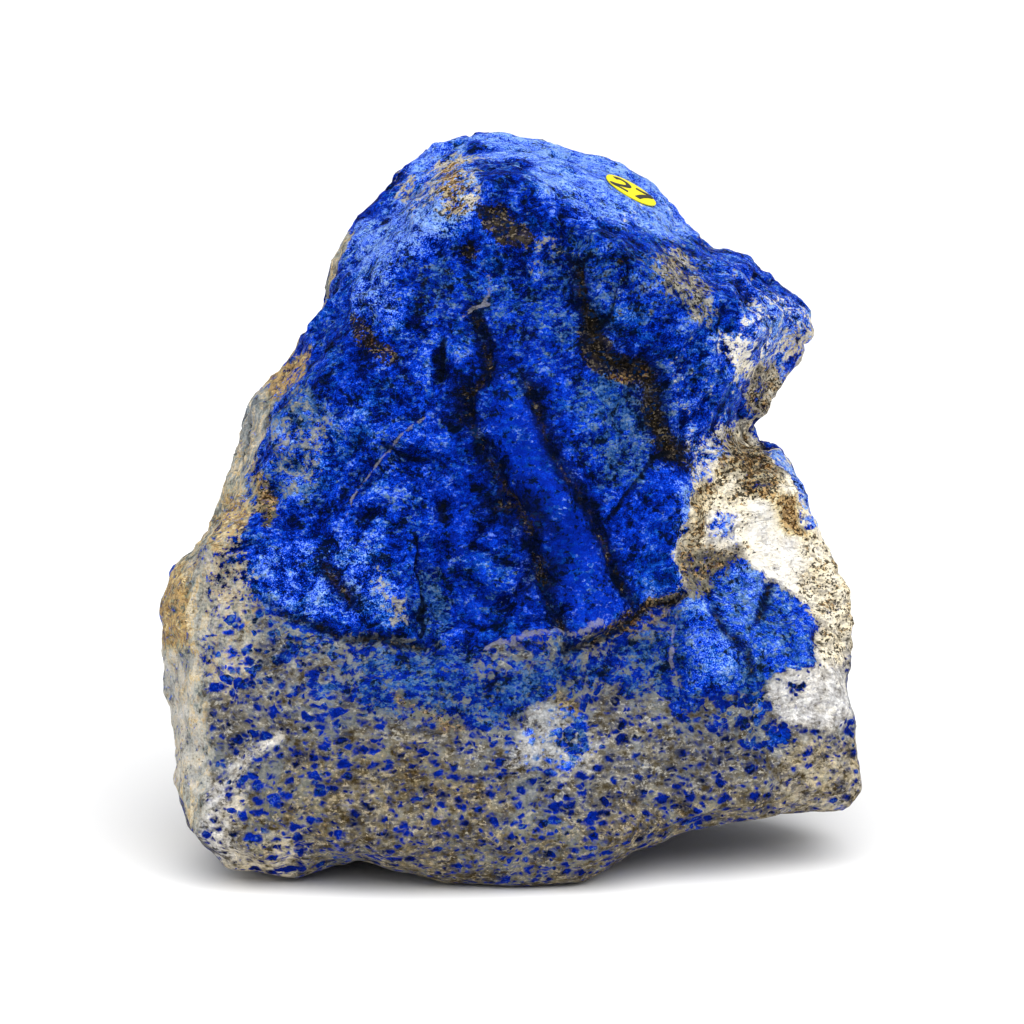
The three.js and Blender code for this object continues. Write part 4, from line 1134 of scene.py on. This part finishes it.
def lay(form, skin, spot, lift):
    """Drops a flat form, drawn at the origin, onto the skin at a spot."""
    centre, across, up, out = spot
    flat = [vert.co.copy() for vert in form.verts]
    sheet = [centre + across * co.x + up * co.y for co in flat]
    fall = []
    for place in sheet:
        hit, _, _, gap = skin.ray_cast(place + out * LABEL_REACH, -out)
        fall.append(LABEL_REACH - gap if hit is not None else 0.0)
    # The paper is stiff, so it follows only the broad shape of the skin and lies on the highest grains.
    columns = np.array([(1.0, co.x, co.y) for co in flat])
    plane, *_ = np.linalg.lstsq(columns, np.array(fall), rcond=None)
    rest = float(np.max(fall - columns @ plane)) * SINK
    for vert, co, place, height in zip(form.verts, flat, sheet, columns @ plane + rest):
        vert.co = place + out * (height + lift + co.z)


def pen_stroke(points, radius, width):
    """A flat round-ended pen stroke through the points."""
    curve = bpy.data.curves.new("stroke", "CURVE")
    curve.dimensions, curve.resolution_u = "3D", 8
    curve.bevel_depth, curve.bevel_resolution, curve.use_fill_caps = width / 2, 3, True
    spline = curve.splines.new("BEZIER")
    spline.bezier_points.add(len(points) - 1)
    for knot, (x, y) in zip(spline.bezier_points, points):
        knot.co = (x * radius, y * radius, 0)
        knot.handle_left_type = knot.handle_right_type = "AUTO"
    carrier = bpy.data.objects.new("stroke", curve)
    bpy.context.scene.collection.objects.link(carrier)
    mesh = bpy.data.meshes.new_from_object(carrier.evaluated_get(bpy.context.evaluated_depsgraph_get()))
    bpy.data.objects.remove(carrier)
    mesh.transform(Matrix.Diagonal((1, 1, INK_FLATNESS, 1)))
    return mesh


# ---- stage -------------------------------------------------------------------------------------------

MIDDLE = Vector((0, 0, 0.05))  # what the softboxes face


def softbox(name, watts, place, side):
    """A square area light at place, facing the stone."""
    light = bpy.data.lights.new(name, "AREA")
    light.energy, light.size, light.shape = watts, side, "SQUARE"
    lamp = bpy.data.objects.new(name, light)
    lamp.location = place
    lamp.rotation_euler = (MIDDLE - Vector(place)).to_track_quat("-Z", "Y").to_euler()
    bpy.context.scene.collection.objects.link(lamp)


class LAPIS_OT_stage(bpy.types.Operator):
    """Set out the pale floor, the soft lights and the camera"""

    bl_idname = "lapis.make_stage"
    bl_label = "Make Stage"

    def execute(self, context):
        look = context.scene.lapis_stage
        scene = context.scene
        form = bmesh.new()
        bmesh.ops.create_grid(form, x_segments=1, y_segments=1, size=look.floor_size / 2)
        mesh = bpy.data.meshes.new("floor")
        form.to_mesh(mesh)
        form.free()
        floor = bpy.data.objects.new("floor", mesh)
        scene.collection.objects.link(floor)
        mesh.materials.append(Paint("floor").finish(base_color=look.floor, roughness=0.8))

        world = bpy.data.worlds.new("room")
        world.use_nodes = True
        room = world.node_tree.nodes["Background"].inputs
        room["Color"].default_value, room["Strength"].default_value = (1, 1, 1, 1), look.sky
        scene.world = world
        sun = bpy.data.lights.new("overhead", "SUN")
        sun.energy, sun.angle = look.overhead, math.radians(75)
        lamp = bpy.data.objects.new("overhead", sun)
        lamp.rotation_euler = (math.radians(24), math.radians(10), 0)
        scene.collection.objects.link(lamp)
        softbox("right_softbox", look.right_watts, (0.62, -0.35, 0.72), 0.8)
        softbox("left_softbox", look.left_watts, (-0.68, -0.30, 0.62), 0.8)
        softbox("front_softbox", look.front_watts, (-0.35, -0.95, 0.55), 0.6)

        camera = bpy.data.cameras.new("camera")
        camera.lens, camera.sensor_width = look.lens, 36.0
        camera.clip_start, camera.clip_end = 0.01, 50.0
        eye = bpy.data.objects.new("camera", camera)
        eye.location = from_face(0, -EYE_DISTANCE, EYE_HEIGHT)
        aim = from_face(0, 0, EYE_HEIGHT) - eye.location
        eye.rotation_euler = aim.to_track_quat("-Z", "Y").to_euler()
        scene.collection.objects.link(eye)
        scene.camera = eye
        scene.view_settings.view_transform = "Standard"
        return {"FINISHED"}


class LAPIS_PT_panel(bpy.types.Panel):
    """Settings and steps of the specimen"""

    bl_idname = "LAPIS_PT_panel"
    bl_label = "Lapis Specimen"
    bl_space_type = "VIEW_3D"
    bl_region_type = "UI"
    bl_category = "Lapis"

    def draw(self, context):
        for group, operator in (("lapis_stone", LAPIS_OT_stone), ("lapis_label", LAPIS_OT_label),
                                ("lapis_stage", LAPIS_OT_stage)):
            box = self.layout.box()
            settings = getattr(context.scene, group)
            for name in settings.__annotations__:
                box.prop(settings, name)
            box.operator(operator.bl_idname)


CLASSES = (StoneSettings, LabelSettings, StageSettings, LAPIS_OT_stone, LAPIS_OT_label, LAPIS_OT_stage,
           LAPIS_PT_panel)


def register():
    for cls in CLASSES:
        bpy.utils.register_class(cls)
    bpy.types.Scene.lapis_stone = bpy.props.PointerProperty(type=StoneSettings)
    bpy.types.Scene.lapis_label = bpy.props.PointerProperty(type=LabelSettings)
    bpy.types.Scene.lapis_stage = bpy.props.PointerProperty(type=StageSettings)


def unregister():
    del bpy.types.Scene.lapis_stage
    del bpy.types.Scene.lapis_label
    del bpy.types.Scene.lapis_stone
    for cls in reversed(CLASSES):
        bpy.utils.unregister_class(cls)


def main():
    register()
    bpy.ops.lapis.make_stone()
    bpy.ops.lapis.make_label()
    bpy.ops.lapis.make_stage()


if __name__ == "__main__":
    main()
